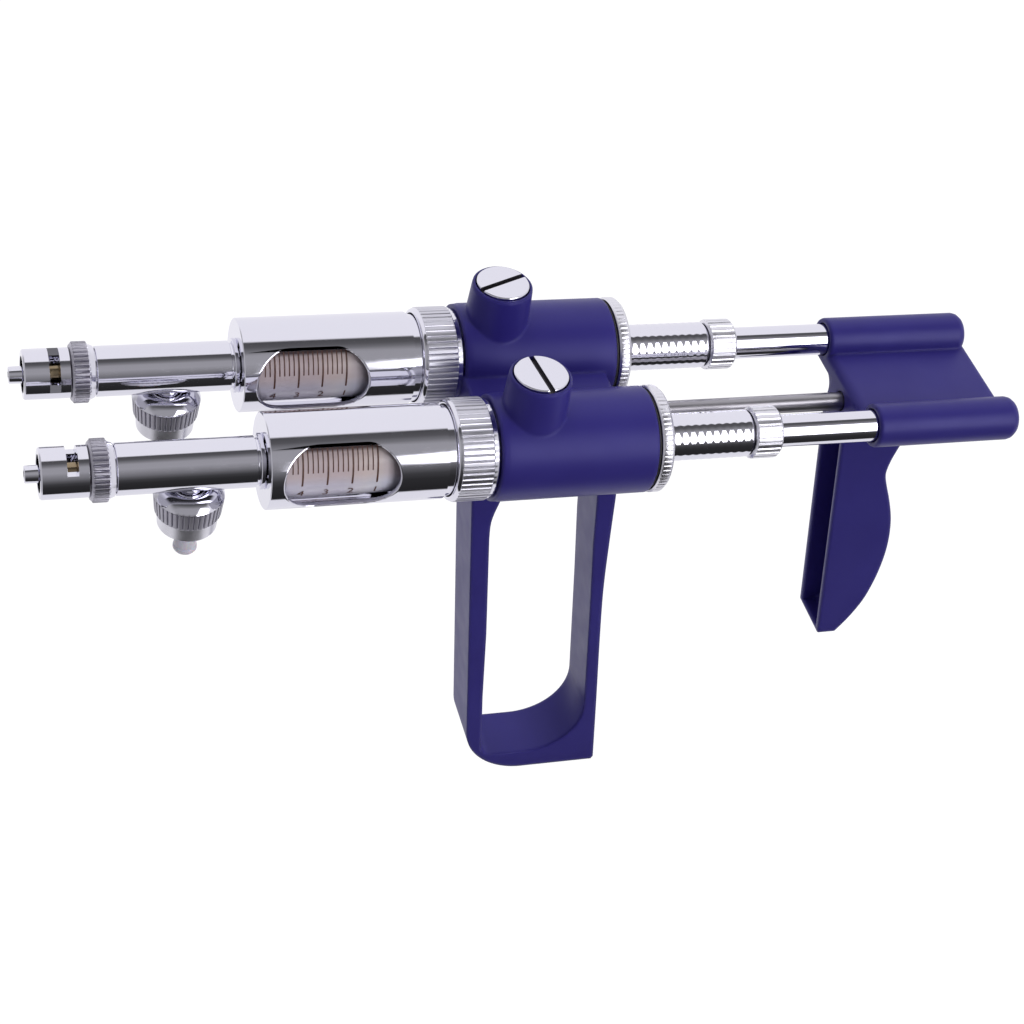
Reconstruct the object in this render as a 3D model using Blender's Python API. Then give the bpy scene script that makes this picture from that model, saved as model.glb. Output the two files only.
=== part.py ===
"""Double automatic syringe for livestock, modelled piece by piece in Blender.

Units are metres, +X runs to the rear of the syringe and +Z is up. The origin is the centre of the
bridge's flat front face, midway between the two syringes and on their axes' height. The left
syringe is at -Y, on the left hand of someone who aims the needles along -X.
"""
import math

import bmesh
import bpy
from mathutils import Vector

MM = 0.001

# Clearances
SEAT_GAP = 0.3 * MM          # between two pieces that rest on each other
RUN_GAP = 0.3 * MM           # radial, between a piece and what slides or turns on it
SEAL_GAP = 0.2 * MM          # radial, between a seal and its bore
STOP_MARGIN = 0.4 * MM       # left between handle and dose knob at the end of both travels
FRONT_MARGIN = 3.3 * MM      # left between piston and glass front at the end of the stroke

# Facets round the turned pieces
LARGE_STEPS = 30
SMALL_STEPS = 18
FINE_STEPS = 12
COIL_STEPS = 6

# Travels
STROKE = 22.0 * MM
THREAD_PITCH = 2.0 * MM
DOSE_TURNS = 2

# Body casting
SYRINGE_SPACING = 34.0 * MM
BODY_RADIUS = 12.8 * MM
BODY_LENGTH = 38.7 * MM
BODY_EDGE = 0.8 * MM
RIM_RADIUS = 12.3 * MM
RIM_LENGTH = 0.4 * MM
BRIDGE_TOP = 3.0 * MM
BRIDGE_LENGTH = 36.0 * MM
BORE_DEPTH = 6.0 * MM
BOSS_PLACE = 10.0 * MM
BOSS_HEIGHT = 8.8 * MM        # above the cylinder that it stands on
BOSS_RADIUS = 7.4 * MM
BOSS_EDGE = 0.4 * MM
BOSS_BASE_RADIUS = 8.3 * MM

# Finger loop, whose posts lean to the rear as they go down
LOOP_WIDTH = 15.0 * MM
LOOP_LEAN = 0.139
LOOP_FRONT = -0.3 * MM       # front edge of the front post, continued up to the syringe axes
LOOP_REAR_INSET = 1.2 * MM   # the same for the rear post's rear edge, from the body's rear end
LOOP_DROP = 131.5 * MM       # from the syringe axes down to the flat base
FRONT_POST = 4.3 * MM
REAR_POST = 4.8 * MM
LOOP_BAR = 6.2 * MM
LOOP_TOE_RADIUS = 14.0 * MM
WINDOW_TOP_RADIUS = 17.0 * MM
WINDOW_HEEL_RADIUS = 12.0 * MM
WINDOW_SMALL_RADIUS = 3.0 * MM

# Barrel
BARREL_RADIUS = 11.25 * MM
BARREL_LENGTH = 42.9 * MM
BARREL_EDGE = 0.3 * MM
BARREL_FRONT_WALL = 1.9 * MM
BARREL_GROOVE = 1.6 * MM
BARREL_THREAD_RADIUS = 10.6 * MM
SPIGOT_RADIUS = 9.9 * MM
WINDOW_LENGTH = 26.7 * MM
WINDOW_HEIGHT = 15.9 * MM
WINDOW_INSET = 3.2 * MM
WINDOW_TURN = 10.0            # degrees that the window at -Y looks upwards
GLASS_RADIUS = 8.8 * MM
GLASS_BORE_RADIUS = 7.4 * MM
GASKET_LENGTH = 1.2 * MM
BUSH_LENGTH = 3.4 * MM
BARREL_NUT_RADIUS = 12.2 * MM
BARREL_NUT_LENGTH = 9.1 * MM
BARREL_NUT_TEETH = 52
BARREL_NUT_TOOTH = 0.45 * MM

# Front tube with its inlet boss
TUBE_RADIUS = 5.95 * MM
TUBE_LENGTH = 32.9 * MM      # smooth stretch with its rear collar
TUBE_COLLAR_RADIUS = 6.5 * MM
TUBE_COLLAR_LENGTH = 0.9 * MM
TUBE_GROOVE_LENGTH = 0.7 * MM
TUBE_NOSE_RADIUS = 5.2 * MM
TUBE_NOSE_LENGTH = 2.9 * MM
TUBE_SPIGOT_RADIUS = 4.2 * MM
PASSAGE_RADIUS = 1.5 * MM
OUTLET_CHAMBER_RADIUS = 3.0 * MM
OUTLET_CHAMBER_DEPTH = 11.0 * MM
INLET_BEHIND_TUBE_FRONT = 17.2 * MM
INLET_BOSS_RADIUS = 4.6 * MM
INLET_BOSS_DROP = 13.6 * MM
INLET_CHAMBER_RADIUS = 2.9 * MM
INLET_CHAMBER_TOP = 5.0 * MM

# Needle end
NEEDLE_NUT_RADIUS = 7.25 * MM
NEEDLE_NUT_KNURL = 3.9 * MM
NEEDLE_NUT_CONE = 1.5 * MM
NEEDLE_NUT_CONE_RADIUS = 6.2 * MM
NEEDLE_NUT_WALL = 1.2 * MM
NEEDLE_NUT_TEETH = 36
NEEDLE_NUT_TOOTH = 0.5 * MM
SLEEVE_RADIUS = 5.9 * MM
SLEEVE_LENGTH = 10.6 * MM
SLEEVE_BORE_RADIUS = 4.3 * MM
SLEEVE_FLOOR = 1.5 * MM
SLEEVE_NECK_RADIUS = 3.7 * MM
SLEEVE_SLOT_WIDTH = 2.5 * MM
SLEEVE_SLOT_DEPTH = 5.0 * MM
SLEEVE_SLOT_INSET = 2.3 * MM  # from the sleeve's rear face to the slot
SLOT_TURN = {"left": -8.0, "right": 34.0}  # degrees, from the top towards -Y
TIP_RADIUS = 1.97 * MM
TIP_REACH = 3.1 * MM         # of the luer cone in front of its sleeve
TIP_TAPER = 0.03
TIP_BORE_RADIUS = 1.0 * MM
CORE_STEM_RADIUS = 2.6 * MM
CORE_FLANGE_RADIUS = 4.6 * MM
CORE_FLANGE_LENGTH = 1.2 * MM

# Inlet, hanging under the front tube
INLET_NUT_RADIUS = 8.5 * MM
INLET_NUT_FOOT_RADIUS = 8.1 * MM
INLET_NUT_TOP = 9.0 * MM     # below the syringe axis
INLET_NUT_KNURL = 4.5 * MM
INLET_NUT_COLLAR = 4.2 * MM
INLET_NUT_COLLAR_RADIUS = 7.2 * MM
INLET_NUT_FLOOR = 2.2 * MM
INLET_NUT_TEETH = 40
INLET_NUT_TOOTH = 0.5 * MM
NIPPLE_RADIUS = 2.8 * MM
NIPPLE_BORE_RADIUS = 1.3 * MM
NIPPLE_SHOWN = 8.4 * MM
NIPPLE_FLANGE_RADIUS = 4.2 * MM
NIPPLE_FLANGE_LENGTH = 1.3 * MM

# Valves
OUTLET_BALL_RADIUS = 2.3 * MM
INLET_BALL_RADIUS = 2.2 * MM
VALVE_SPRING_RADIUS = 1.7 * MM
VALVE_SPRING_WIRE = 0.2 * MM
VALVE_SPRING_TURNS = 3

# Slotted screw in each boss
SCREW_HEAD_RADIUS = 6.4 * MM
SCREW_HEAD_LENGTH = 3.0 * MM
SCREW_PROUD = 0.6 * MM       # of the head above its boss
SCREW_SHANK_RADIUS = 2.4 * MM
SCREW_SLOT_WIDTH = 1.3 * MM
SCREW_SLOT_DEPTH = 1.4 * MM
SCREW_SLOT_TURN = {"left": 98.0, "right": 23.0}  # degrees, from +X towards +Y

# Dose adjuster
WASHER_RADIUS = 12.5 * MM
WASHER_LENGTH = 0.8 * MM
LOCK_RING_RADIUS = 12.9 * MM
LOCK_RING_LENGTH = 2.8 * MM
LOCK_RING_TEETH = 64
LOCK_RING_TOOTH = 0.35 * MM
THREAD_RADIUS = 5.8 * MM
THREAD_DEPTH = 0.55 * MM
THREAD_SHOWN = 23.7 * MM
THREAD_HIDDEN = 6.9 * MM
SCREW_TUBE_RADIUS = 5.0 * MM
KNOB_RADIUS = 6.35 * MM
KNOB_LENGTH = 7.1 * MM
KNOB_TEETH = 26
KNOB_TOOTH = 0.45 * MM
STOP_WASHER_RADIUS = 6.9 * MM
STOP_WASHER_LENGTH = 1.0 * MM

# Plunger
ROD_RADIUS = 4.0 * MM
ROD_SPIGOT_RADIUS = 2.5 * MM
ROD_SEAT_DEPTH = 24.0 * MM
PISTON_LENGTH = 8.1 * MM
PISTON_GROOVE_DEPTH = 1.3 * MM
PISTON_LAND = 1.6 * MM
PISTON_NOSE = 4.0 * MM
HANDLE_LENGTH = 39.6 * MM
LOBE_RADIUS = 5.5 * MM
LOBE_ROUND = 2.4 * MM
WEB_TOP = 0.7 * MM           # below the syringe axes
WEB_THICKNESS = 4.3 * MM
GRIP_WIDTH = 14.0 * MM
GRIP_WALL = 1.8 * MM
GRIP_LEAN = 0.174
GRIP_SET_FORWARD = 2.4 * MM  # of the leaning front edge, continued up to the syringe axes
GRIP_DROP = 87.3 * MM
GRIP_HEAD = 14.0 * MM        # solid top of the grip, which holds the guide rod
GRIP_HEAD_DEPTH = 22.0 * MM  # front to rear, where the grip leaves the web
GRIP_WAIST = 14.1 * MM
GRIP_WAIST_DROP = 27.0 * MM
GRIP_BULGE = 18.9 * MM
GRIP_BULGE_DROP = 51.0 * MM
GRIP_TOE = 5.2 * MM

# Guide rod and return spring
GUIDE_DROP = 6.5 * MM        # of the guide rod below the syringe axes
GUIDE_RADIUS = 2.35 * MM
GUIDE_BORE_RADIUS = 1.75 * MM
GUIDE_FLOOR = 9.0 * MM
GUIDE_SEAT_DEPTH = 9.5 * MM
GUIDE_HOLE_INSET = 3.5 * MM  # from the bridge's front face to the blind end
SPRING_RADIUS = 1.2 * MM
SPRING_WIRE = 0.22 * MM
SPRING_TURNS = 16

# Stations along X that follow from the sizes
SIDES = {"left": -1, "right": 1}
HALF_SPACING = SYRINGE_SPACING / 2
DOSE_TRAVEL = DOSE_TURNS * THREAD_PITCH
BARREL_NUT_REAR = -RIM_LENGTH - SEAT_GAP
BARREL_NUT_FRONT = BARREL_NUT_REAR - BARREL_NUT_LENGTH
BARREL_SHOULDER = BARREL_NUT_FRONT - SEAT_GAP
BARREL_FRONT = BARREL_SHOULDER - BARREL_LENGTH
BARREL_REAR = BORE_DEPTH - SEAT_GAP
BARREL_BORE_RADIUS = GLASS_RADIUS + RUN_GAP
GASKET_FRONT = BARREL_FRONT + BARREL_FRONT_WALL + SEAT_GAP
GLASS_FRONT = GASKET_FRONT + GASKET_LENGTH + SEAT_GAP
BUSH_FRONT = BARREL_REAR - BUSH_LENGTH
GLASS_REAR = BUSH_FRONT - SEAT_GAP
TUBE_REAR = BARREL_FRONT - SEAT_GAP
TUBE_FRONT = TUBE_REAR - TUBE_LENGTH
TUBE_NOSE_FRONT = TUBE_FRONT - TUBE_NOSE_LENGTH
INLET_PLACE = TUBE_FRONT + INLET_BEHIND_TUBE_FRONT
NEEDLE_NUT_REAR = TUBE_FRONT - SEAT_GAP
NEEDLE_NUT_FRONT = NEEDLE_NUT_REAR - NEEDLE_NUT_CONE - NEEDLE_NUT_KNURL
SLEEVE_REAR = NEEDLE_NUT_FRONT - SEAT_GAP
SLEEVE_FRONT = SLEEVE_REAR - SLEEVE_LENGTH
TIP_FRONT = SLEEVE_FRONT - TIP_REACH
CORE_REAR = TUBE_NOSE_FRONT - SEAT_GAP
CORE_FLANGE_FRONT = CORE_REAR - CORE_FLANGE_LENGTH
NECK_REAR = CORE_FLANGE_FRONT - SEAT_GAP
BOSS_TOP = BODY_RADIUS + BOSS_HEIGHT
DOSE_BORE_RADIUS = THREAD_RADIUS + RUN_GAP
SCREW_BORE_RADIUS = ROD_RADIUS + RUN_GAP
PISTON_FRONT = GLASS_FRONT + FRONT_MARGIN + STROKE
PISTON_REAR = PISTON_FRONT + PISTON_LENGTH
STOP_FRONT = PISTON_REAR + SEAT_GAP
STOP_REAR = STOP_FRONT + STOP_WASHER_LENGTH
DOSE_SCREW_FRONT = STOP_REAR + SEAT_GAP
WASHER_FRONT = BODY_LENGTH + SEAT_GAP
LOCK_RING_FRONT = WASHER_FRONT + WASHER_LENGTH + SEAT_GAP
LOCK_RING_REAR = LOCK_RING_FRONT + LOCK_RING_LENGTH
THREAD_REAR = LOCK_RING_REAR + THREAD_SHOWN
THREAD_FRONT = LOCK_RING_REAR - THREAD_HIDDEN
KNOB_FRONT = THREAD_REAR + SEAT_GAP
KNOB_REAR = KNOB_FRONT + KNOB_LENGTH
HANDLE_FRONT = KNOB_REAR + STROKE + DOSE_TRAVEL + STOP_MARGIN
HANDLE_REAR = HANDLE_FRONT + HANDLE_LENGTH
GUIDE_HOLE_RADIUS = GUIDE_RADIUS + RUN_GAP
GUIDE_FRONT = GUIDE_HOLE_INSET + STROKE + SEAT_GAP
GUIDE_REAR = HANDLE_FRONT + GUIDE_SEAT_DEPTH

# Colours, as (red, green, blue), roughness and metallic
FINISHES = {
    "blue_plastic": ((0.036, 0.028, 0.22), 0.42, 0.0),
    "chrome": ((0.80, 0.80, 0.84), 0.12, 1.0),
    "knurled_chrome": ((0.72, 0.72, 0.76), 0.25, 1.0),
    "steel": ((0.45, 0.43, 0.42), 0.35, 1.0),
    "black_rubber": ((0.015, 0.015, 0.018), 0.6, 0.0),
    "grey_rubber": ((0.30, 0.30, 0.31), 0.6, 0.0),
    "glass": ((0.92, 0.93, 0.93), 0.05, 0.0),
    "white_plastic": ((0.82, 0.84, 0.86), 0.4, 0.0),
}


def clear_scene():
    for item in list(bpy.data.objects):
        bpy.data.objects.remove(item, do_unlink=True)


def finish(name):
    """The named material, made once."""
    found = bpy.data.materials.get(name)
    if found:
        return found
    colour, roughness, metallic = FINISHES[name]
    made = bpy.data.materials.new(name)
    made.use_nodes = True
    shader = made.node_tree.nodes["Principled BSDF"]
    shader.inputs["Base Color"].default_value = (*colour, 1.0)
    shader.inputs["Roughness"].default_value = roughness
    shader.inputs["Metallic"].default_value = metallic
    return made


def empty(name, location, parent=None, turn=(0.0, 0.0, 0.0)):
    made = bpy.data.objects.new(name, None)
    bpy.context.scene.collection.objects.link(made)
    made.parent = parent
    made.location = location
    made.rotation_euler = turn
    return made


def piece(name, bm, material_name, parent=None, location=(0.0, 0.0, 0.0), turn=(0.0, 0.0, 0.0)):
    """A new object from a closed bmesh, shaded smooth up to its edges."""
    bmesh.ops.recalc_face_normals(bm, faces=bm.faces)
    mesh = bpy.data.meshes.new(name)
    bm.to_mesh(mesh)
    bm.free()
    mesh.materials.append(finish(material_name))
    mesh.shade_smooth()
    mesh.set_sharp_from_angle(angle=math.radians(35))
    made = bpy.data.objects.new(name, mesh)
    bpy.context.scene.collection.objects.link(made)
    made.parent = parent
    made.location = location
    made.rotation_euler = turn
    return made


def combine(target, tool, operation):
    """Join or cut the target with a tool object, which is then only a guide."""
    tool.hide_render = True
    tool.display_type = "WIRE"
    change = target.modifiers.new(tool.name, "BOOLEAN")
    change.operation = operation
    change.object = tool
    change.solver = "EXACT"


def spin_outline(bm, outline, steps):
    """Turn an open outline of (station, radius) points round the X axis."""
    verts = [bm.verts.new((station, radius, 0.0)) for station, radius in outline]
    edges = [bm.edges.new(pair) for pair in zip(verts, verts[1:])]
    bmesh.ops.spin(bm, geom=verts + edges, cent=(0, 0, 0), axis=(1, 0, 0), dvec=(0, 0, 0),
                   angle=math.tau, steps=steps, use_merge=True, use_duplicate=False)


def cut_teeth(bm, steps, depth):
    """Push every second line of points inwards, as a straight knurl."""
    for vert in bm.verts:
        line = round(math.atan2(vert.co.z, vert.co.y) / math.tau * steps)
        radius = math.hypot(vert.co.y, vert.co.z)
        if line % 2:
            vert.co.y *= (radius - depth) / radius
            vert.co.z *= (radius - depth) / radius


def close_ends(bm):
    """Fill the flat faces between the open loops that share a station."""
    bmesh.ops.remove_doubles(bm, verts=bm.verts, dist=0.001 * MM)
    open_edges = {}
    for edge in bm.edges:
        if edge.is_boundary:
            station = round(edge.verts[0].co.x / MM, 3)
            open_edges.setdefault(station, []).append(edge)
    for edges in open_edges.values():
        bmesh.ops.triangle_fill(bm, edges=edges, use_beauty=True)


def turned(outer, bore=None, steps=SMALL_STEPS, knurl=None):
    """A turned solid, its outlines from front to rear; knurl is (outline, teeth, depth), if any."""
    bm = bmesh.new()
    if knurl:
        outline, teeth, depth = knurl
        spin_outline(bm, outline, 2 * teeth)
        cut_teeth(bm, 2 * teeth, depth)
    if outer:
        spin_outline(bm, outer, steps)
    if bore:
        spin_outline(bm, bore, steps)
    close_ends(bm)
    return bm


def rod(start, end, radius, steps=SMALL_STEPS):
    return turned([(start, radius), (end, radius)], steps=steps)


def pipe(start, end, radius, bore_radius, steps=SMALL_STEPS):
    return turned([(start, radius), (end, radius)], [(start, bore_radius), (end, bore_radius)], steps)


def box(low, high):
    bm = bmesh.new()
    bmesh.ops.create_cube(bm, size=1.0)
    for vert in bm.verts:
        vert.co = Vector(a + (b - a) * (c + 0.5) for a, b, c in zip(low, high, vert.co))
    return bm


def upright(radius, centre, low, high, top_radius=None, steps=SMALL_STEPS):
    """A round solid that stands along Z at an (X, Y) centre."""
    bm = bmesh.new()
    bmesh.ops.create_cone(bm, cap_ends=True, segments=steps, radius1=radius,
                          radius2=radius if top_radius is None else top_radius, depth=high - low)
    bmesh.ops.translate(bm, verts=bm.verts, vec=(centre[0], centre[1], (low + high) / 2))
    return bm


def rounded(corners, radii, steps=5):
    """The closed outline of a polygon of (X, Z) corners with each corner rounded to its radius."""
    outline = []
    count = len(corners)
    for place, (corner, radius) in enumerate(zip(corners, radii)):
        here = Vector(corner)
        before = (Vector(corners[place - 1]) - here).normalized()
        after = (Vector(corners[(place + 1) % count]) - here).normalized()
        if radius == 0:
            outline.append(here)
            continue
        half = before.angle(after) / 2
        centre = here + (before + after).normalized() * radius / math.sin(half)
        start = here + before * radius / math.tan(half) - centre
        end = here + after * radius / math.tan(half) - centre
        sweep = start.angle(end)
        for step in range(steps + 1):
            share = step / steps
            blend = (start * math.sin((1 - share) * sweep) + end * math.sin(share * sweep))
            outline.append(centre + blend / math.sin(sweep))
    return outline


def plate(outlines, width):
    """A flat plate square to Y, from its closed outlines: the outer one, then any holes."""
    bm = bmesh.new()
    for outline in outlines:
        verts = [bm.verts.new((point[0], -width / 2, point[1])) for point in outline]
        for place, vert in enumerate(verts):
            bm.edges.new((verts[place - 1], vert))
    bmesh.ops.triangle_fill(bm, edges=bm.edges, use_beauty=True)
    grown = bmesh.ops.extrude_face_region(bm, geom=bm.faces[:])
    moved = [item for item in grown["geom"] if isinstance(item, bmesh.types.BMVert)]
    bmesh.ops.translate(bm, verts=moved, vec=(0, width, 0))
    return bm


def coil(name, start, end, radius, wire, turns, parent, location=(0.0, 0.0, 0.0)):
    """A coil spring along X, as one thin tube."""
    curve = bpy.data.curves.new(name, "CURVE")
    curve.dimensions = "3D"
    curve.bevel_depth = wire
    curve.bevel_resolution = 0
    curve.use_fill_caps = True
    spline = curve.splines.new("POLY")
    points = COIL_STEPS * turns + 1
    spline.points.add(points - 1)
    for place, point in enumerate(spline.points):
        angle = math.tau * place / COIL_STEPS
        station = start + wire + (end - start - 2 * wire) * place / (points - 1)
        point.co = (station, radius * math.cos(angle), radius * math.sin(angle), 1.0)
    curve.materials.append(finish("steel"))
    made = bpy.data.objects.new(name, curve)
    bpy.context.scene.collection.objects.link(made)
    made.parent = parent
    made.location = location
    return made


def loop_edge(drop, offset):
    """Station of a leaning post's edge at a drop below the syringe axes."""
    return offset + LOOP_LEAN * drop


def finger_loop():
    """The leaning flat band for the fingers, its top inside the bridge."""
    top = BODY_RADIUS / 2
    rear = BODY_LENGTH - LOOP_REAR_INSET
    outer = [(loop_edge(top, LOOP_FRONT), -top),
             (loop_edge(LOOP_DROP, LOOP_FRONT), -LOOP_DROP),
             (loop_edge(LOOP_DROP, rear), -LOOP_DROP),
             (loop_edge(top, rear), -top)]
    lowest = LOOP_DROP - LOOP_BAR
    highest = BODY_RADIUS
    front = LOOP_FRONT + FRONT_POST
    back = rear - REAR_POST
    window = [(loop_edge(highest, front), -highest),
              (loop_edge(lowest, front), -lowest),
              (loop_edge(lowest, back), -lowest),
              (loop_edge(highest, back), -highest)]
    window_radii = [WINDOW_TOP_RADIUS, WINDOW_SMALL_RADIUS, WINDOW_HEEL_RADIUS, WINDOW_SMALL_RADIUS]
    return plate([rounded(outer, [0, LOOP_TOE_RADIUS, 0, 0]), rounded(window, window_radii)],
                 LOOP_WIDTH)


def body_casting():
    """Two cylinders, the bridge between them, the screw bosses and the finger loop, all one casting."""
    half_bridge = HALF_SPACING - BODY_RADIUS / 2
    body = piece("body_casting", box((0, -half_bridge, -BODY_RADIUS),
                                     (BODY_LENGTH, half_bridge, BRIDGE_TOP)), "blue_plastic")
    notch_radius = HALF_SPACING - BODY_RADIUS + 2 * RUN_GAP
    notch = upright(notch_radius, (BRIDGE_LENGTH + notch_radius, 0), -2 * BODY_RADIUS, BODY_RADIUS)
    combine(body, piece("bridge_notch", notch, "blue_plastic"), "DIFFERENCE")
    loop = piece("loop_band", finger_loop(), "blue_plastic")
    combine(body, loop, "UNION")
    screw_seat = BOSS_TOP + SCREW_PROUD - SCREW_HEAD_LENGTH - SEAT_GAP
    quarter = math.radians(90)
    for side, sign in SIDES.items():
        place = (0, sign * HALF_SPACING, 0)
        shell = turned([(-RIM_LENGTH, RIM_RADIUS), (0, RIM_RADIUS), (0, BODY_RADIUS),
                        (BODY_LENGTH - BODY_EDGE, BODY_RADIUS),
                        (BODY_LENGTH, BODY_RADIUS - BODY_EDGE)], steps=LARGE_STEPS)
        combine(body, piece(side + "_shell", shell, "blue_plastic", location=place), "UNION")
        boss = turned([(BODY_RADIUS / 2, BOSS_BASE_RADIUS), (BOSS_TOP - BOSS_EDGE, BOSS_RADIUS),
                       (BOSS_TOP, BOSS_RADIUS - BOSS_EDGE)], steps=LARGE_STEPS)
        boss_place = (BOSS_PLACE, sign * HALF_SPACING, 0)
        combine(body, piece(side + "_boss", boss, "blue_plastic", None, boss_place, (0, -quarter, 0)),
                "UNION")
    for side, sign in SIDES.items():
        place = (0, sign * HALF_SPACING, 0)
        bore = turned([(-2 * RIM_LENGTH, SPIGOT_RADIUS + RUN_GAP),
                       (BORE_DEPTH, SPIGOT_RADIUS + RUN_GAP), (BORE_DEPTH, DOSE_BORE_RADIUS),
                       (BODY_LENGTH + RIM_LENGTH, DOSE_BORE_RADIUS)])
        combine(body, piece(side + "_bore", bore, "blue_plastic", location=place), "DIFFERENCE")
        seat = upright(SCREW_HEAD_RADIUS + RUN_GAP, (BOSS_PLACE, 0), screw_seat, BOSS_TOP + MM)
        combine(body, piece(side + "_screw_seat", seat, "blue_plastic", location=place), "DIFFERENCE")
        hole = upright(SCREW_SHANK_RADIUS + RUN_GAP, (BOSS_PLACE, 0), DOSE_BORE_RADIUS / 2,
                       BOSS_TOP, steps=FINE_STEPS)
        combine(body, piece(side + "_screw_hole", hole, "blue_plastic", location=place), "DIFFERENCE")
    guide = rod(GUIDE_HOLE_INSET, BODY_LENGTH, GUIDE_HOLE_RADIUS)
    guide_bore = piece("guide_bore", guide, "blue_plastic", location=(0, 0, -GUIDE_DROP))
    combine(body, guide_bore, "DIFFERENCE")


def barrel(side, parent):
    """Chromed sleeve with two windows, its glass, gasket and bush, and the knurled ring nut."""
    sleeve = turned([(BARREL_FRONT, BARREL_RADIUS - BARREL_EDGE),
                     (BARREL_FRONT + BARREL_EDGE, BARREL_RADIUS),
                     (BARREL_SHOULDER - BARREL_GROOVE, BARREL_RADIUS),
                     (BARREL_SHOULDER - BARREL_GROOVE, BARREL_THREAD_RADIUS),
                     (-RIM_LENGTH - SEAT_GAP, BARREL_THREAD_RADIUS),
                     (-RIM_LENGTH - SEAT_GAP, SPIGOT_RADIUS), (BARREL_REAR, SPIGOT_RADIUS)],
                    [(BARREL_FRONT, TUBE_SPIGOT_RADIUS + RUN_GAP),
                     (BARREL_FRONT + BARREL_FRONT_WALL, TUBE_SPIGOT_RADIUS + RUN_GAP),
                     (BARREL_FRONT + BARREL_FRONT_WALL, BARREL_BORE_RADIUS),
                     (BARREL_REAR, BARREL_BORE_RADIUS)], LARGE_STEPS)
    barrel_sleeve = piece(side + "_barrel_sleeve", sleeve, "chrome", parent)
    window_front = BARREL_FRONT + WINDOW_INSET
    window_rear = window_front + WINDOW_LENGTH
    half_height = WINDOW_HEIGHT / 2
    corners = [(window_front, half_height), (window_front, -half_height),
               (window_rear, -half_height), (window_rear, half_height)]
    window = plate([rounded(corners, [half_height * 0.999] * 4)], 3 * BARREL_RADIUS)
    window_tool = piece(side + "_window", window, "chrome", parent,
                        turn=(-math.radians(WINDOW_TURN), 0, 0))
    combine(barrel_sleeve, window_tool, "DIFFERENCE")
    piece(side + "_glass_barrel",
          pipe(GLASS_FRONT, GLASS_REAR, GLASS_RADIUS, GLASS_BORE_RADIUS, LARGE_STEPS), "glass", parent)
    piece(side + "_front_gasket",
          pipe(GASKET_FRONT, GASKET_FRONT + GASKET_LENGTH, GLASS_RADIUS, GLASS_BORE_RADIUS - MM,
               FINE_STEPS),
          "black_rubber", parent)
    piece(side + "_glass_bush",
          pipe(BUSH_FRONT, BARREL_REAR, GLASS_RADIUS, DOSE_BORE_RADIUS, FINE_STEPS), "white_plastic",
          parent)
    rim = [(BARREL_NUT_FRONT, BARREL_NUT_RADIUS), (BARREL_NUT_REAR, BARREL_NUT_RADIUS)]
    ring = turned(None, [(BARREL_NUT_FRONT, BARREL_THREAD_RADIUS + RUN_GAP),
                         (BARREL_NUT_REAR, BARREL_THREAD_RADIUS + RUN_GAP)],
                  LARGE_STEPS, (rim, BARREL_NUT_TEETH, BARREL_NUT_TOOTH))
    piece(side + "_barrel_nut", ring, "knurled_chrome", parent)


def front_tube(side, parent):
    """Smooth tube between barrel and needle, with the inlet boss and both valve chambers."""
    collar_front = TUBE_REAR - TUBE_COLLAR_LENGTH
    groove_front = collar_front - TUBE_GROOVE_LENGTH
    groove_radius = TUBE_RADIUS - 2 * RUN_GAP
    spigot_rear = BARREL_FRONT + BARREL_FRONT_WALL - SEAT_GAP
    chamber_rear = TUBE_NOSE_FRONT + OUTLET_CHAMBER_DEPTH
    shape = turned([(TUBE_NOSE_FRONT, TUBE_NOSE_RADIUS), (TUBE_FRONT, TUBE_NOSE_RADIUS),
                    (TUBE_FRONT, TUBE_RADIUS), (groove_front, TUBE_RADIUS),
                    (groove_front, groove_radius), (collar_front, groove_radius),
                    (collar_front, TUBE_COLLAR_RADIUS), (TUBE_REAR, TUBE_COLLAR_RADIUS),
                    (TUBE_REAR, TUBE_SPIGOT_RADIUS), (spigot_rear, TUBE_SPIGOT_RADIUS)],
                   [(TUBE_NOSE_FRONT, OUTLET_CHAMBER_RADIUS), (chamber_rear, OUTLET_CHAMBER_RADIUS),
                    (chamber_rear, PASSAGE_RADIUS), (spigot_rear, PASSAGE_RADIUS)])
    tube = piece(side + "_front_tube", shape, "chrome", parent)
    boss_top = TUBE_RADIUS - MM
    boss = piece(side + "_inlet_boss", upright(INLET_BOSS_RADIUS, (INLET_PLACE, 0), -INLET_BOSS_DROP,
                                               -boss_top), "chrome", parent)
    combine(tube, boss, "UNION")
    chamber = upright(INLET_CHAMBER_RADIUS, (INLET_PLACE, 0), -INLET_BOSS_DROP - MM,
                      -INLET_CHAMBER_TOP, steps=FINE_STEPS)
    combine(tube, piece(side + "_inlet_chamber", chamber, "chrome", parent), "DIFFERENCE")
    channel = upright(PASSAGE_RADIUS * 0.9, (INLET_PLACE, 0), -INLET_CHAMBER_TOP - MM, 0,
                      steps=FINE_STEPS)
    combine(tube, piece(side + "_inlet_channel", channel, "chrome", parent), "DIFFERENCE")


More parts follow.
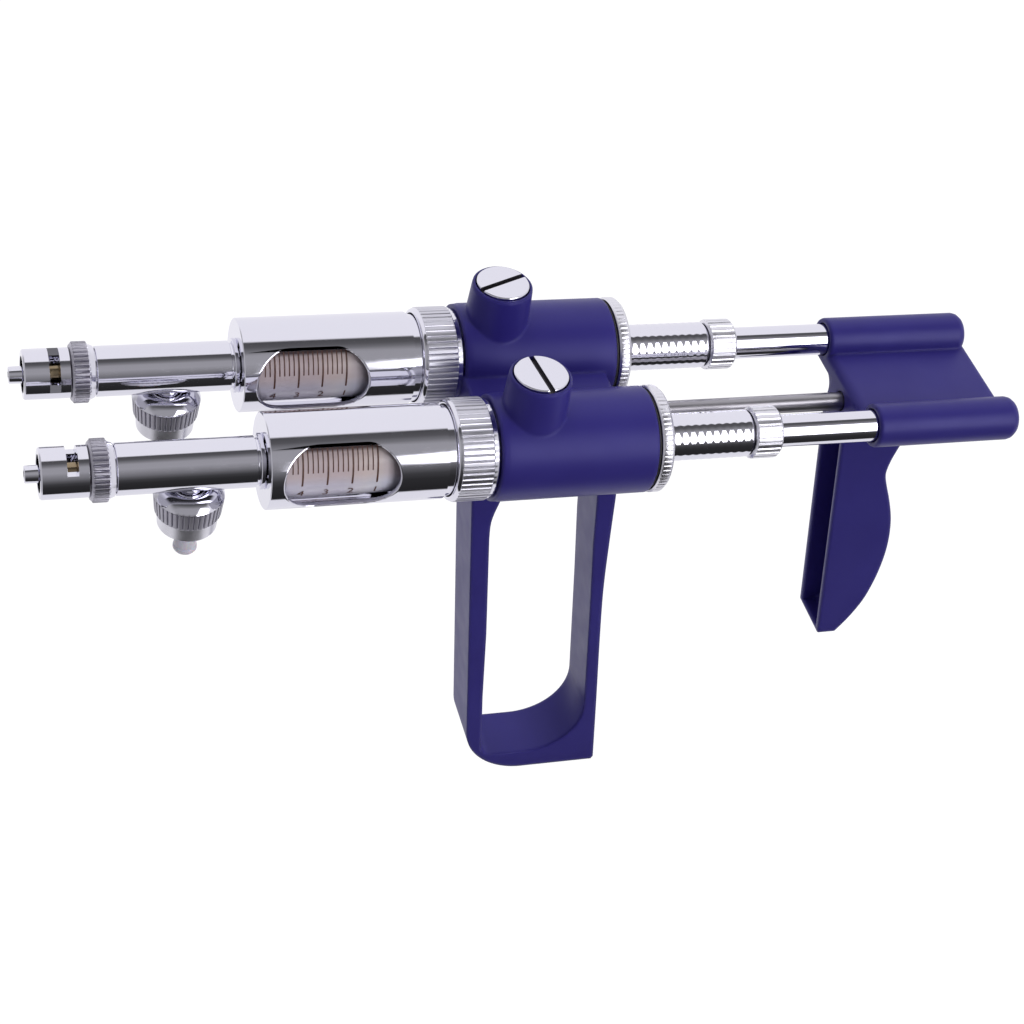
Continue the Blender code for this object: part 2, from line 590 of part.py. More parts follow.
def needle_end(side, parent):
    """Luer cone, its slotted locking sleeve and the knurled union nut."""
    knurl_rear = NEEDLE_NUT_FRONT + NEEDLE_NUT_KNURL
    cavity_front = NEEDLE_NUT_FRONT + NEEDLE_NUT_WALL
    hole_radius = SLEEVE_NECK_RADIUS + RUN_GAP
    cavity_radius = TUBE_NOSE_RADIUS + RUN_GAP
    rim = [(NEEDLE_NUT_FRONT, NEEDLE_NUT_RADIUS), (knurl_rear, NEEDLE_NUT_RADIUS)]
    neck_radius = NEEDLE_NUT_RADIUS - NEEDLE_NUT_TOOTH - RUN_GAP / 3
    nut = turned([(knurl_rear, neck_radius), (NEEDLE_NUT_REAR, NEEDLE_NUT_CONE_RADIUS)],
                 [(NEEDLE_NUT_FRONT, hole_radius), (cavity_front, hole_radius),
                  (cavity_front, cavity_radius), (NEEDLE_NUT_REAR, cavity_radius)],
                 SMALL_STEPS, (rim, NEEDLE_NUT_TEETH, NEEDLE_NUT_TOOTH))
    piece(side + "_needle_nut", nut, "knurled_chrome", parent)

    floor_front = SLEEVE_REAR - SLEEVE_FLOOR
    stem_hole = CORE_STEM_RADIUS + RUN_GAP
    sleeve = turned([(SLEEVE_FRONT, SLEEVE_RADIUS), (SLEEVE_REAR, SLEEVE_RADIUS),
                     (SLEEVE_REAR, SLEEVE_NECK_RADIUS), (NECK_REAR, SLEEVE_NECK_RADIUS)],
                    [(SLEEVE_FRONT, SLEEVE_BORE_RADIUS), (floor_front, SLEEVE_BORE_RADIUS),
                     (floor_front, stem_hole), (NECK_REAR, stem_hole)])
    needle_sleeve = piece(side + "_needle_sleeve", sleeve, "chrome", parent)
    slot_rear = SLEEVE_REAR - SLEEVE_SLOT_INSET
    slot_floor = SLEEVE_RADIUS - SLEEVE_SLOT_DEPTH + SLEEVE_FLOOR
    slot = box((slot_rear - SLEEVE_SLOT_WIDTH, -SLEEVE_RADIUS, slot_floor),
               (slot_rear, SLEEVE_RADIUS, 2 * SLEEVE_RADIUS))
    slot_tool = piece(side + "_sleeve_slot", slot, "chrome", parent,
                      turn=(math.radians(SLOT_TURN[side]), 0, 0))
    combine(needle_sleeve, slot_tool, "DIFFERENCE")

    cone_rear_radius = TIP_RADIUS + TIP_TAPER * (floor_front - TIP_FRONT)
    core = turned([(TIP_FRONT, TIP_RADIUS), (floor_front, cone_rear_radius),
                   (floor_front, CORE_STEM_RADIUS), (CORE_FLANGE_FRONT, CORE_STEM_RADIUS),
                   (CORE_FLANGE_FRONT, CORE_FLANGE_RADIUS), (CORE_REAR, CORE_FLANGE_RADIUS)],
                  [(TIP_FRONT, TIP_BORE_RADIUS), (CORE_REAR, TIP_BORE_RADIUS)])
    piece(side + "_luer_core", core, "chrome", parent)


def ball(centre, radius):
    bm = bmesh.new()
    bmesh.ops.create_uvsphere(bm, u_segments=10, v_segments=6, radius=radius)
    bmesh.ops.translate(bm, verts=bm.verts, vec=(centre, 0, 0))
    return bm


def seat_offset(ball_radius, hole_radius):
    """How far a ball's centre stands from the edge of the hole that it closes."""
    return math.sqrt(ball_radius ** 2 - hole_radius ** 2) + SEAT_GAP


def outlet_valve(side, parent):
    """The ball that opens towards the needle, with its spring."""
    seat = TUBE_NOSE_FRONT + OUTLET_CHAMBER_DEPTH
    centre = seat - seat_offset(OUTLET_BALL_RADIUS, PASSAGE_RADIUS)
    piece(side + "_outlet_ball", ball(centre, OUTLET_BALL_RADIUS), "steel", parent)
    coil(side + "_outlet_spring", CORE_REAR + SEAT_GAP, centre - OUTLET_BALL_RADIUS - SEAT_GAP,
         VALVE_SPRING_RADIUS, VALVE_SPRING_WIRE, VALVE_SPRING_TURNS, parent)


def inlet(side, parent):
    """Knurled cap nut, feed nipple, inlet ball and spring. Stations run downwards here."""
    knurl_foot = INLET_NUT_TOP + INLET_NUT_KNURL
    nut_foot = knurl_foot + INLET_NUT_COLLAR
    floor_top = nut_foot - INLET_NUT_FLOOR
    rim = [(INLET_NUT_TOP, INLET_NUT_RADIUS), (knurl_foot, INLET_NUT_FOOT_RADIUS)]
    nut = turned([(knurl_foot, INLET_NUT_COLLAR_RADIUS), (nut_foot, INLET_NUT_COLLAR_RADIUS)],
                 [(INLET_NUT_TOP, INLET_BOSS_RADIUS + RUN_GAP), (floor_top, INLET_BOSS_RADIUS + RUN_GAP),
                  (floor_top, NIPPLE_RADIUS + RUN_GAP), (nut_foot, NIPPLE_RADIUS + RUN_GAP)],
                 SMALL_STEPS, (rim, INLET_NUT_TEETH, INLET_NUT_TOOTH))
    piece(side + "_inlet_nut", nut, "knurled_chrome", parent)
    flange_foot = floor_top - SEAT_GAP
    flange_top = flange_foot - NIPPLE_FLANGE_LENGTH
    nipple_foot = nut_foot + NIPPLE_SHOWN
    nipple = turned([(flange_top, NIPPLE_FLANGE_RADIUS), (flange_foot, NIPPLE_FLANGE_RADIUS),
                     (flange_foot, NIPPLE_RADIUS), (nipple_foot, NIPPLE_RADIUS)],
                    [(flange_top, NIPPLE_BORE_RADIUS), (nipple_foot, NIPPLE_BORE_RADIUS)])
    piece(side + "_feed_nipple", nipple, "white_plastic", parent)
    centre = flange_top - seat_offset(INLET_BALL_RADIUS, NIPPLE_BORE_RADIUS)
    piece(side + "_inlet_ball", ball(centre, INLET_BALL_RADIUS), "steel", parent)
    coil(side + "_inlet_spring", INLET_CHAMBER_TOP + SEAT_GAP, centre - INLET_BALL_RADIUS - SEAT_GAP,
         VALVE_SPRING_RADIUS, VALVE_SPRING_WIRE, VALVE_SPRING_TURNS, parent)


def boss_screw(side, parent):
    """The slotted screw in the boss. Stations run upwards from the syringe axis."""
    head_top = BOSS_TOP + SCREW_PROUD
    head_foot = head_top - SCREW_HEAD_LENGTH
    shank_foot = DOSE_BORE_RADIUS + SEAT_GAP
    shape = turned([(shank_foot, SCREW_SHANK_RADIUS), (head_foot, SCREW_SHANK_RADIUS),
                    (head_foot, SCREW_HEAD_RADIUS), (head_top, SCREW_HEAD_RADIUS)])
    screw = piece(side + "_boss_screw", shape, "chrome", parent)
    slot = box((head_top - SCREW_SLOT_DEPTH, -2 * SCREW_HEAD_RADIUS, -SCREW_SLOT_WIDTH / 2),
               (head_top + MM, 2 * SCREW_HEAD_RADIUS, SCREW_SLOT_WIDTH / 2))
    slot_tool = piece(side + "_screw_slot", slot, "chrome", parent,
                      turn=(math.radians(90.0 - SCREW_SLOT_TURN[side]), 0, 0))
    combine(screw, slot_tool, "DIFFERENCE")


def helix(bm, start, end, crest, root, pitch, steps):
    """The open surface of a right-hand thread between two stations."""
    rows = math.ceil((end - start) / pitch) * 2 + 8
    grid = {}
    for row in range(rows):
        radius = crest if row % 2 else root
        for step in range(steps):
            angle = math.tau * step / steps
            station = start - 2 * pitch + pitch * (row / 2 + step / steps)
            grid[row, step] = bm.verts.new((station, radius * math.cos(angle), radius * math.sin(angle)))
        grid[row - 2, steps] = grid[row, 0]
    for row in range(rows - 3):
        for step in range(steps):
            bm.faces.new((grid[row, step], grid[row, step + 1],
                          grid[row + 1, step + 1], grid[row + 1, step]))
    loose = [vert for vert in bm.verts if not vert.link_faces]
    bmesh.ops.delete(bm, geom=loose, context="VERTS")
    for station, side in ((start, "clear_inner"), (end, "clear_outer")):
        geometry = bm.verts[:] + bm.edges[:] + bm.faces[:]
        bmesh.ops.bisect_plane(bm, geom=geometry, dist=0.0001 * MM, plane_co=(station, 0, 0),
                               plane_no=(1, 0, 0), **{side: True})


def dose_adjuster(side, parent):
    """Washer, lock ring, threaded dose tube, its knurled knob and the washer that stops the piston."""
    piece(side + "_rear_washer",
          pipe(WASHER_FRONT, WASHER_FRONT + WASHER_LENGTH, WASHER_RADIUS, DOSE_BORE_RADIUS, LARGE_STEPS),
          "black_rubber", parent)
    rim = [(LOCK_RING_FRONT, LOCK_RING_RADIUS), (LOCK_RING_REAR, LOCK_RING_RADIUS)]
    ring = turned(None, [(LOCK_RING_FRONT, DOSE_BORE_RADIUS), (LOCK_RING_REAR, DOSE_BORE_RADIUS)],
                  SMALL_STEPS, (rim, LOCK_RING_TEETH, LOCK_RING_TOOTH))
    piece(side + "_lock_ring", ring, "knurled_chrome", parent)

    tube_rear = KNOB_REAR - SEAT_GAP
    bm = bmesh.new()
    helix(bm, THREAD_FRONT, THREAD_REAR, THREAD_RADIUS, THREAD_RADIUS - THREAD_DEPTH,
          THREAD_PITCH, FINE_STEPS)
    spin_outline(bm, [(DOSE_SCREW_FRONT, SCREW_TUBE_RADIUS), (THREAD_FRONT, SCREW_TUBE_RADIUS)],
                 SMALL_STEPS)
    spin_outline(bm, [(THREAD_REAR, SCREW_TUBE_RADIUS), (tube_rear, SCREW_TUBE_RADIUS)], SMALL_STEPS)
    spin_outline(bm, [(DOSE_SCREW_FRONT, SCREW_BORE_RADIUS), (tube_rear, SCREW_BORE_RADIUS)],
                 SMALL_STEPS)
    close_ends(bm)
    piece(side + "_dose_screw", bm, "chrome", parent)

    rim = [(KNOB_FRONT, KNOB_RADIUS), (KNOB_REAR, KNOB_RADIUS)]
    knob = turned(None, [(KNOB_FRONT, SCREW_TUBE_RADIUS + RUN_GAP),
                         (KNOB_REAR, SCREW_TUBE_RADIUS + RUN_GAP)],
                  SMALL_STEPS, (rim, KNOB_TEETH, KNOB_TOOTH))
    piece(side + "_dose_knob", knob, "knurled_chrome", parent)
    piece(side + "_stop_washer",
          pipe(STOP_FRONT, STOP_REAR, STOP_WASHER_RADIUS, SCREW_BORE_RADIUS, FINE_STEPS),
          "white_plastic", parent)


def plunger_rod(side, parent):
    """Piston rod with its piston and seal."""
    piston_radius = GLASS_BORE_RADIUS - SEAL_GAP
    groove_radius = piston_radius - PISTON_GROOVE_DEPTH
    spigot_front = PISTON_FRONT + PISTON_NOSE + SEAT_GAP
    shape = turned([(spigot_front, ROD_SPIGOT_RADIUS), (PISTON_REAR, ROD_SPIGOT_RADIUS),
                    (PISTON_REAR + SEAT_GAP, ROD_RADIUS),
                    (HANDLE_FRONT + ROD_SEAT_DEPTH - SEAT_GAP, ROD_RADIUS)])
    piece(side + "_piston_rod", shape, "chrome", parent)
    seal_front = PISTON_FRONT + PISTON_LAND
    seal_rear = PISTON_REAR - PISTON_LAND
    piston = turned([(PISTON_FRONT, 0), (PISTON_FRONT, piston_radius), (seal_front, piston_radius),
                     (seal_front, groove_radius), (seal_rear, groove_radius),
                     (seal_rear, piston_radius), (PISTON_REAR, piston_radius)],
                    [(PISTON_FRONT + PISTON_NOSE, 0),
                     (PISTON_FRONT + PISTON_NOSE, ROD_SPIGOT_RADIUS + RUN_GAP),
                     (PISTON_REAR, ROD_SPIGOT_RADIUS + RUN_GAP)])
    piece(side + "_piston", piston, "white_plastic", parent)
    piece(side + "_piston_seal",
          pipe(seal_front + SEAT_GAP, seal_rear - SEAT_GAP, piston_radius, groove_radius + RUN_GAP),
          "grey_rubber", parent)


def grip_depth(drop):
    """How deep the grip is, from its front edge to its rear, at a drop below the syringe axes."""
    if drop < GRIP_WAIST_DROP:
        share = drop / GRIP_WAIST_DROP
        return GRIP_WAIST + (GRIP_HEAD_DEPTH - GRIP_WAIST) * (1 - share) ** 2
    if drop < GRIP_BULGE_DROP:
        share = (drop - GRIP_WAIST_DROP) / (GRIP_BULGE_DROP - GRIP_WAIST_DROP)
        return GRIP_WAIST + (GRIP_BULGE - GRIP_WAIST) * (1 - math.cos(math.pi * share)) / 2
    share = (drop - GRIP_BULGE_DROP) / (GRIP_DROP - GRIP_BULGE_DROP)
    return GRIP_TOE + (GRIP_BULGE - GRIP_TOE) * math.cos(math.pi / 2 * share)


def grip_front(drop):
    return HANDLE_FRONT - GRIP_SET_FORWARD + GRIP_LEAN * drop


def rear_handle():
    """Two lobes that hold the piston rods, the web between them and the palm grip below."""
    web_foot = WEB_TOP + WEB_THICKNESS
    handle = piece("rear_handle", box((HANDLE_FRONT, -HALF_SPACING, -web_foot),
                                      (HANDLE_REAR, HALF_SPACING, -WEB_TOP)), "blue_plastic")
    for side, sign in SIDES.items():
        lobe = turned([(HANDLE_FRONT, LOBE_RADIUS), (HANDLE_REAR - LOBE_ROUND, LOBE_RADIUS),
                       (HANDLE_REAR - LOBE_ROUND * 0.4, LOBE_RADIUS - LOBE_ROUND * 0.25),
                       (HANDLE_REAR, LOBE_RADIUS - LOBE_ROUND)])
        place = (0, sign * HALF_SPACING, 0)
        combine(handle, piece(side + "_lobe", lobe, "blue_plastic", location=place), "UNION")
    levels = 16
    drops = [WEB_TOP + MM + (GRIP_DROP - WEB_TOP - MM) * step / levels for step in range(levels + 1)]
    rear_edge = [(grip_front(drop) + grip_depth(drop), -drop) for drop in drops]
    head_front = [(HANDLE_FRONT, -drops[0]), (HANDLE_FRONT, -GRIP_SET_FORWARD / GRIP_LEAN)]
    outline = head_front + [(grip_front(GRIP_DROP), -GRIP_DROP)] + rear_edge[::-1]
    grip = piece("grip", plate([outline], GRIP_WIDTH), "blue_plastic")
    combine(handle, grip, "UNION")
    inner = [drop for drop in drops if GRIP_HEAD < drop < GRIP_DROP * 0.97]
    inner_edge = [(grip_front(drop) + grip_depth(drop) - GRIP_WALL, -drop) for drop in inner]
    ahead = HANDLE_FRONT - 2 * GRIP_WALL
    channel_outline = ([(ahead, -inner[0]), (ahead, -GRIP_DROP - MM),
                        (grip_front(GRIP_DROP) - GRIP_WALL, -GRIP_DROP - MM)] + inner_edge[::-1])
    channel = piece("grip_channel", plate([channel_outline], GRIP_WIDTH - 2 * GRIP_WALL),
                    "blue_plastic")
    combine(handle, channel, "DIFFERENCE")
    for side, sign in SIDES.items():
        hole = rod(HANDLE_FRONT - MM, HANDLE_FRONT + ROD_SEAT_DEPTH, ROD_RADIUS + RUN_GAP)
        place = (0, sign * HALF_SPACING, 0)
        combine(handle, piece(side + "_rod_hole", hole, "blue_plastic", location=place), "DIFFERENCE")
    hole = rod(HANDLE_FRONT - MM, GUIDE_REAR + SEAT_GAP, GUIDE_HOLE_RADIUS)
    guide_hole = piece("handle_guide_hole", hole, "blue_plastic", location=(0, 0, -GUIDE_DROP))
    combine(handle, guide_hole, "DIFFERENCE")


def guide():
    """Hollow guide rod, closed at the rear, and the return spring inside it."""
    floor = GUIDE_REAR - GUIDE_FLOOR
    shape = turned([(GUIDE_FRONT, GUIDE_RADIUS), (GUIDE_REAR, GUIDE_RADIUS), (GUIDE_REAR, 0)],
                   [(GUIDE_FRONT, GUIDE_BORE_RADIUS), (floor, GUIDE_BORE_RADIUS), (floor, 0)])
    piece("guide_rod", shape, "steel", location=(0, 0, -GUIDE_DROP))
    coil("return_spring", GUIDE_HOLE_INSET + SEAT_GAP, floor - SEAT_GAP, SPRING_RADIUS, SPRING_WIRE,
         SPRING_TURNS, None, (0, 0, -GUIDE_DROP))


def main():
    clear_scene()
    body_casting()
    rear_handle()
    guide()
    quarter = math.radians(90)
    for side, sign in SIDES.items():
        axis = empty(side + "_syringe_axis", (0, sign * HALF_SPACING, 0))
        inlet_axis = empty(side + "_inlet_axis", (INLET_PLACE, 0, 0), axis, (0, quarter, 0))
        screw_axis = empty(side + "_screw_axis", (BOSS_PLACE, 0, 0), axis, (0, -quarter, 0))
        barrel(side, axis)
        front_tube(side, axis)
        needle_end(side, axis)
        outlet_valve(side, axis)
        inlet(side, inlet_axis)
        boss_screw(side, screw_axis)
        dose_adjuster(side, axis)
        plunger_rod(side, axis)


main()
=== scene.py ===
import math

import bpy
from mathutils import Matrix, Vector


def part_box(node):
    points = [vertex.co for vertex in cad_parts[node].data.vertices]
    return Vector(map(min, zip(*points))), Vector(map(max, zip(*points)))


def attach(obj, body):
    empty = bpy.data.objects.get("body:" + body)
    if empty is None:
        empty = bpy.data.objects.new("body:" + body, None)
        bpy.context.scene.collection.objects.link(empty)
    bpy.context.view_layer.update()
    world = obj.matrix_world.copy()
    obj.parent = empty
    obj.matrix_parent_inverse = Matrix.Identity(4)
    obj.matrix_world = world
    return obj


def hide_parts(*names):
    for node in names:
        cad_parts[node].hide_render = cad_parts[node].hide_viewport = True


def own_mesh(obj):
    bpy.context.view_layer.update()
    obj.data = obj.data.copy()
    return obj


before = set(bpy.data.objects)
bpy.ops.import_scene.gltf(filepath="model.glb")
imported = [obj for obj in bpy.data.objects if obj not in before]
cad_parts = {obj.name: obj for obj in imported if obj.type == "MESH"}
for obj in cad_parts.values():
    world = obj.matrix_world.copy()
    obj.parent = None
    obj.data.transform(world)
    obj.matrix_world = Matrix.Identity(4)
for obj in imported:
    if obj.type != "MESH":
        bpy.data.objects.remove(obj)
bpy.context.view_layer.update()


# Places in millimetres and turns in degrees; x runs to the rear from the body's front, z up

MM = 0.001
SPACING = 34.0
AXES = {"left": -SPACING / 2, "right": SPACING / 2}
LEFT = (0.0, AXES["left"], 0.0)
INLET = (-69.0, AXES["left"], 0.0)
BOSS_STATION = 10.0
GUIDE = (0.0, 0.0, -6.5)
HANDLE_FRONT, HANDLE_REAR = 100.4, 140.0
GRIP_DROP = 87.0
LOOP_LEAN = 0.139
FLOOR = -131.9
SLEEVE_SLOT_TURN = {"left": -8.0, "right": 34.0}
SCREW_SLOT_TURN = {"left": 98.0, "right": 23.0}
KNURL_ANGLE = 50


# Tools for the modelling, all in millimetres

def point(*place):
    return Vector(place) * MM


def only(*pieces):
    """Leave nothing selected but these pieces, the last one active."""
    bpy.ops.object.select_all(action="DESELECT")
    for piece in pieces:
        piece.select_set(True)
        bpy.context.view_layer.objects.active = piece


def name_piece(name):
    piece = bpy.context.object
    piece.name = name
    piece.data.name = name
    bpy.ops.object.transform_apply(location=True, rotation=True, scale=True)
    return piece


def select_points(piece, test):
    """Select, by their place in millimetres, the points that pass the test."""
    bpy.ops.object.mode_set(mode="OBJECT")
    for kind in (piece.data.polygons, piece.data.edges):
        for item in kind:
            item.select = False
    for vert in piece.data.vertices:
        vert.select = bool(test(vert.co / MM))
    bpy.ops.object.mode_set(mode="EDIT")
    bpy.ops.mesh.select_mode(type="VERT")


def select_edges(piece, test):
    """Select the edges whose both ends pass the test."""
    bpy.ops.object.mode_set(mode="OBJECT")
    for kind in (piece.data.polygons, piece.data.vertices):
        for item in kind:
            item.select = False
    for edge in piece.data.edges:
        ends = [piece.data.vertices[place].co / MM for place in edge.vertices]
        edge.select = bool(test(*ends))
    bpy.ops.object.mode_set(mode="EDIT")
    bpy.ops.mesh.select_mode(type="EDGE")


def tidy_mesh():
    """In edit mode: merge doubles and point all faces outwards."""
    bpy.ops.mesh.select_mode(type="VERT")
    bpy.ops.mesh.select_all(action="SELECT")
    bpy.ops.mesh.remove_doubles(threshold=0.002 * MM)
    bpy.ops.mesh.normals_make_consistent(inside=False)


def draw_line(stops):
    """Turn the active small circle into one point, and extrude it from stop to stop."""
    bpy.ops.object.mode_set(mode="EDIT")
    bpy.ops.mesh.select_mode(type="VERT")
    bpy.ops.mesh.merge(type="CENTER")
    for here, there in zip(stops, stops[1:]):
        bpy.ops.mesh.extrude_region_move(TRANSFORM_OT_translate={"value": there - here})


def plate(name, outline, half_width):
    """A flat plate from an outline of (station, height) points, drawn by extruding."""
    stops = [point(station, -half_width, height) for station, height in outline]
    bpy.ops.object.select_all(action="DESELECT")
    bpy.ops.mesh.primitive_circle_add(vertices=3, radius=MM, location=stops[0])
    piece = name_piece(name)
    draw_line(stops)
    bpy.ops.mesh.select_all(action="SELECT")
    bpy.ops.mesh.edge_face_add()
    bpy.ops.mesh.extrude_region_move(TRANSFORM_OT_translate={"value": point(0, 2 * half_width, 0)})
    tidy_mesh()
    bpy.ops.object.mode_set(mode="OBJECT")
    return piece


def arc(centre, radius, start, end, steps):
    """Points on an arc, by angle in degrees from the rear towards the top."""
    turns = [math.radians(start + (end - start) * step / steps) for step in range(steps + 1)]
    return [(centre[0] + radius * math.cos(turn), centre[1] + radius * math.sin(turn))
            for turn in turns]


def smooth_line(stops, steps):
    """A smooth curve through the stops."""
    def between(p, q, r, u, t):
        return 0.5 * (2 * q + (r - p) * t + (2 * p - 5 * q + 4 * r - u) * t * t
                      + (3 * q - p - 3 * r + u) * t ** 3)
    line = []
    ends = [stops[0]] + stops + [stops[-1]]
    for near in zip(ends, ends[1:], ends[2:], ends[3:]):
        for step in range(steps):
            line.append(tuple(between(*values, step / steps) for values in zip(*near)))
    return line + [stops[-1]]


def lathe(name, outline, centre, along="X", steps=96, ring=True):
    """Draw an outline of (station, radius) points by extruding, and spin it round an axis.

    A ring's outline is closed; without a ring it starts and ends on the axis.
    """
    def place(station, radius):
        if along == "X":
            return point(station, centre[1], centre[2] + radius)
        return point(centre[0] + radius, centre[1], station)
    stops = [place(*stop) for stop in outline]
    if ring:
        stops.append(stops[0])
    bpy.ops.object.select_all(action="DESELECT")
    bpy.ops.mesh.primitive_circle_add(vertices=3, radius=MM, location=stops[0])
    piece = name_piece(name)
    draw_line(stops)
    bpy.ops.mesh.select_all(action="SELECT")
    axis = (1, 0, 0) if along == "X" else (0, 0, 1)
    bpy.ops.mesh.spin(steps=steps, angle=math.tau, center=point(*centre), axis=axis)
    tidy_mesh()
    if not ring:
        middle = Vector(centre)
        middle[0 if along == "X" else 2] = 0.0
        share = Vector((0, 1, 1)) if along == "X" else Vector((1, 1, 0))
        select_points(piece, lambda place: (place * share - middle).length < 0.01)
        bpy.ops.mesh.dissolve_verts()
    bpy.ops.object.mode_set(mode="OBJECT")
    return piece


def knurl(piece, centre, along, teeth, lines, depth, radius, low, high):
    """Push each tooth's first line of points inwards between two stations, as a groove."""
    def is_groove(place):
        if along == "X":
            station, across, up = place.x, place.y - centre[1], place.z - centre[2]
        else:
            station, across, up = place.z, place.x - centre[0], place.y - centre[1]
        line = round(math.atan2(up, across) / math.tau * teeth * lines)
        return low < station < high and math.hypot(across, up) > radius - 0.6 and line % lines == 0
    only(piece)
    select_points(piece, is_groove)
    share = 1 - depth / radius
    value = (1, share, share) if along == "X" else (share, share, 1)
    bpy.ops.transform.resize(value=value, center_override=point(*centre))
    bpy.ops.object.mode_set(mode="OBJECT")


def soften(piece, width, segments=2, angle=30):
    """Round all edges sharper than an angle."""
    only(piece)
    change = piece.modifiers.new("rounding", "BEVEL")
    change.width = width * MM
    change.segments = segments
    change.limit_method = "ANGLE"
    change.angle_limit = math.radians(angle)
    bpy.ops.object.modifier_apply(modifier=change.name)


def combine(piece, tool, operation):
    """Join a tool shape to the piece, or cut it out, and remove the tool."""
    only(piece)
    change = piece.modifiers.new("combine", "BOOLEAN")
    change.operation = operation
    change.solver = "EXACT"
    change.object = tool
    bpy.ops.object.modifier_apply(modifier=change.name)
    bpy.data.objects.remove(tool, do_unlink=True)


def drill(piece, centre, start, end, radius, along="X", steps=48):
    """Cut a round hole between two stations."""
    outline = [(start, 0.0), (start, radius), (end, radius), (end, 0.0)]
    combine(piece, lathe("hole", outline, centre, along, steps, ring=False), "DIFFERENCE")


def block(name, low, high):
    """A box between two corners, as a start for plates and cutters."""
    bpy.ops.object.select_all(action="DESELECT")
    size = [b - a for a, b in zip(low, high)]
    middle = [(a + b) / 2 for a, b in zip(low, high)]
    bpy.ops.mesh.primitive_cube_add(size=1, location=point(*middle), scale=point(*size))
    return name_piece(name)


def slot_tool(name, low, high, centre, axis, degrees):
    """A box cutter, turned about an axis through a centre."""
    tool = block(name, low, high)
    turn = Matrix.Rotation(math.radians(degrees), 4, axis)
    middle = Matrix.Translation(point(*centre))
    tool.matrix_world = middle @ turn @ middle.inverted()
    bpy.ops.object.transform_apply(location=True, rotation=True, scale=True)
    return tool


def join(piece, *others):
    only(*others, piece)
    bpy.ops.object.join()
    return piece


def copy_across(piece, name):
    """The same piece on the right syringe, with its own mesh."""
    only(piece)
    bpy.ops.object.duplicate()
    bpy.ops.transform.translate(value=point(0, SPACING, 0))
    return name_piece(name)


def dress(piece, material, slot, body, *nodes, angle=32):
    """Shade, colour and mount a finished piece."""
    only(piece)
    bpy.ops.object.shade_smooth_by_angle(angle=math.radians(angle))
    shading = piece.modifiers.new("shading", "WEIGHTED_NORMAL")
    shading.keep_sharp = True
    bpy.ops.object.modifier_apply(modifier=shading.name)
    if material:
        piece.data.materials.clear()
        piece.data.materials.append(material)
    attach(piece, body)
    if nodes:
        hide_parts(*nodes)


def finish_faces(pieces, material, test):
    """Give the faces that pass the test, by their middle in millimetres, another finish."""
    for piece in pieces:
        piece.data.materials.append(material)
        for face in piece.data.polygons:
            if test(face.center / MM):
                face.material_index = len(piece.data.materials) - 1


def dress_pair(piece, look, material, slot, body, node, angle=32):
    """Copy a left piece to the right side and dress both; body and node are named without side."""
    piece.name = "left_" + look
    piece.data.name = piece.name
    twin = copy_across(piece, "right_" + look)
    for side, each in (("left", piece), ("right", twin)):
        home = body if body in ("frame", "plunger") else f"{side}_{body}"
        dress(each, material, slot, home, *([f"{side}_{node}"] if node else []), angle=angle)
    return piece, twin


# Finishes; most of the grain's noise lies between its low and its high value

GRAIN_LOW, GRAIN_HIGH = 0.3, 0.7


def new_finish(name, colour, roughness, metallic=0.0):
    material = bpy.data.materials.new(name)
    material.use_nodes = True
    nodes, links = material.node_tree.nodes, material.node_tree.links
    shader = nodes["Principled BSDF"]
    shader.inputs["Base Color"].default_value = (*colour, 1.0)
    shader.inputs["Roughness"].default_value = roughness
    shader.inputs["Metallic"].default_value = metallic
    return material, nodes, links, shader


def grain(nodes, links, scale, stretch=(1, 1, 1), detail=3.0):
    """Noise on the piece's own coordinates, as a factor of about 0 to 1."""
    place = nodes.new("ShaderNodeTexCoord")
    shift = nodes.new("ShaderNodeMapping")
    shift.inputs["Scale"].default_value = stretch
    noise = nodes.new("ShaderNodeTexNoise")
    noise.inputs["Scale"].default_value = scale
    noise.inputs["Detail"].default_value = detail
    links.new(place.outputs["Object"], shift.inputs["Vector"])
    links.new(shift.outputs["Vector"], noise.inputs["Vector"])
    return noise.outputs["Fac"]


def spread(nodes, links, factor, low, high):
    """The grain turned into a range of values."""
    band = nodes.new("ShaderNodeMapRange")
    band.inputs["From Min"].default_value = GRAIN_LOW
    band.inputs["From Max"].default_value = GRAIN_HIGH
    band.inputs["To Min"].default_value = low
    band.inputs["To Max"].default_value = high
    links.new(factor, band.inputs["Value"])
    return band.outputs["Result"]


def set_stops(ramp, stops):
    """Give a colour ramp its (position, colour) stops: all the positions, then the colours."""
    elements = ramp.color_ramp.elements
    while len(elements) < len(stops):
        elements.new(0.5)
    for element, (position, _) in zip(elements, stops):
        element.position = position
    for element, (_, colour) in zip(elements, stops):
        element.color = (*colour, 1.0)


def tint(nodes, links, factor, dark, light):
    """The grain turned into a range of colours."""
    ramp = nodes.new("ShaderNodeValToRGB")
    set_stops(ramp, [(GRAIN_LOW, dark), (GRAIN_HIGH, light)])
    links.new(factor, ramp.inputs["Fac"])
    return ramp.outputs["Color"]


def relief(nodes, links, shader, height, strength, distance, rounding=0.0):
    """Fine relief on the surface, over edges that are rounded in the shading."""
    bump = nodes.new("ShaderNodeBump")
    bump.inputs["Strength"].default_value = strength
    bump.inputs["Distance"].default_value = distance * MM
    links.new(height, bump.inputs["Height"])
    if rounding:
        edge = nodes.new("ShaderNodeBevel")
        edge.samples = 6
        edge.inputs["Radius"].default_value = rounding * MM
        links.new(edge.outputs["Normal"], bump.inputs["Normal"])
    links.new(bump.outputs["Normal"], shader.inputs["Normal"])


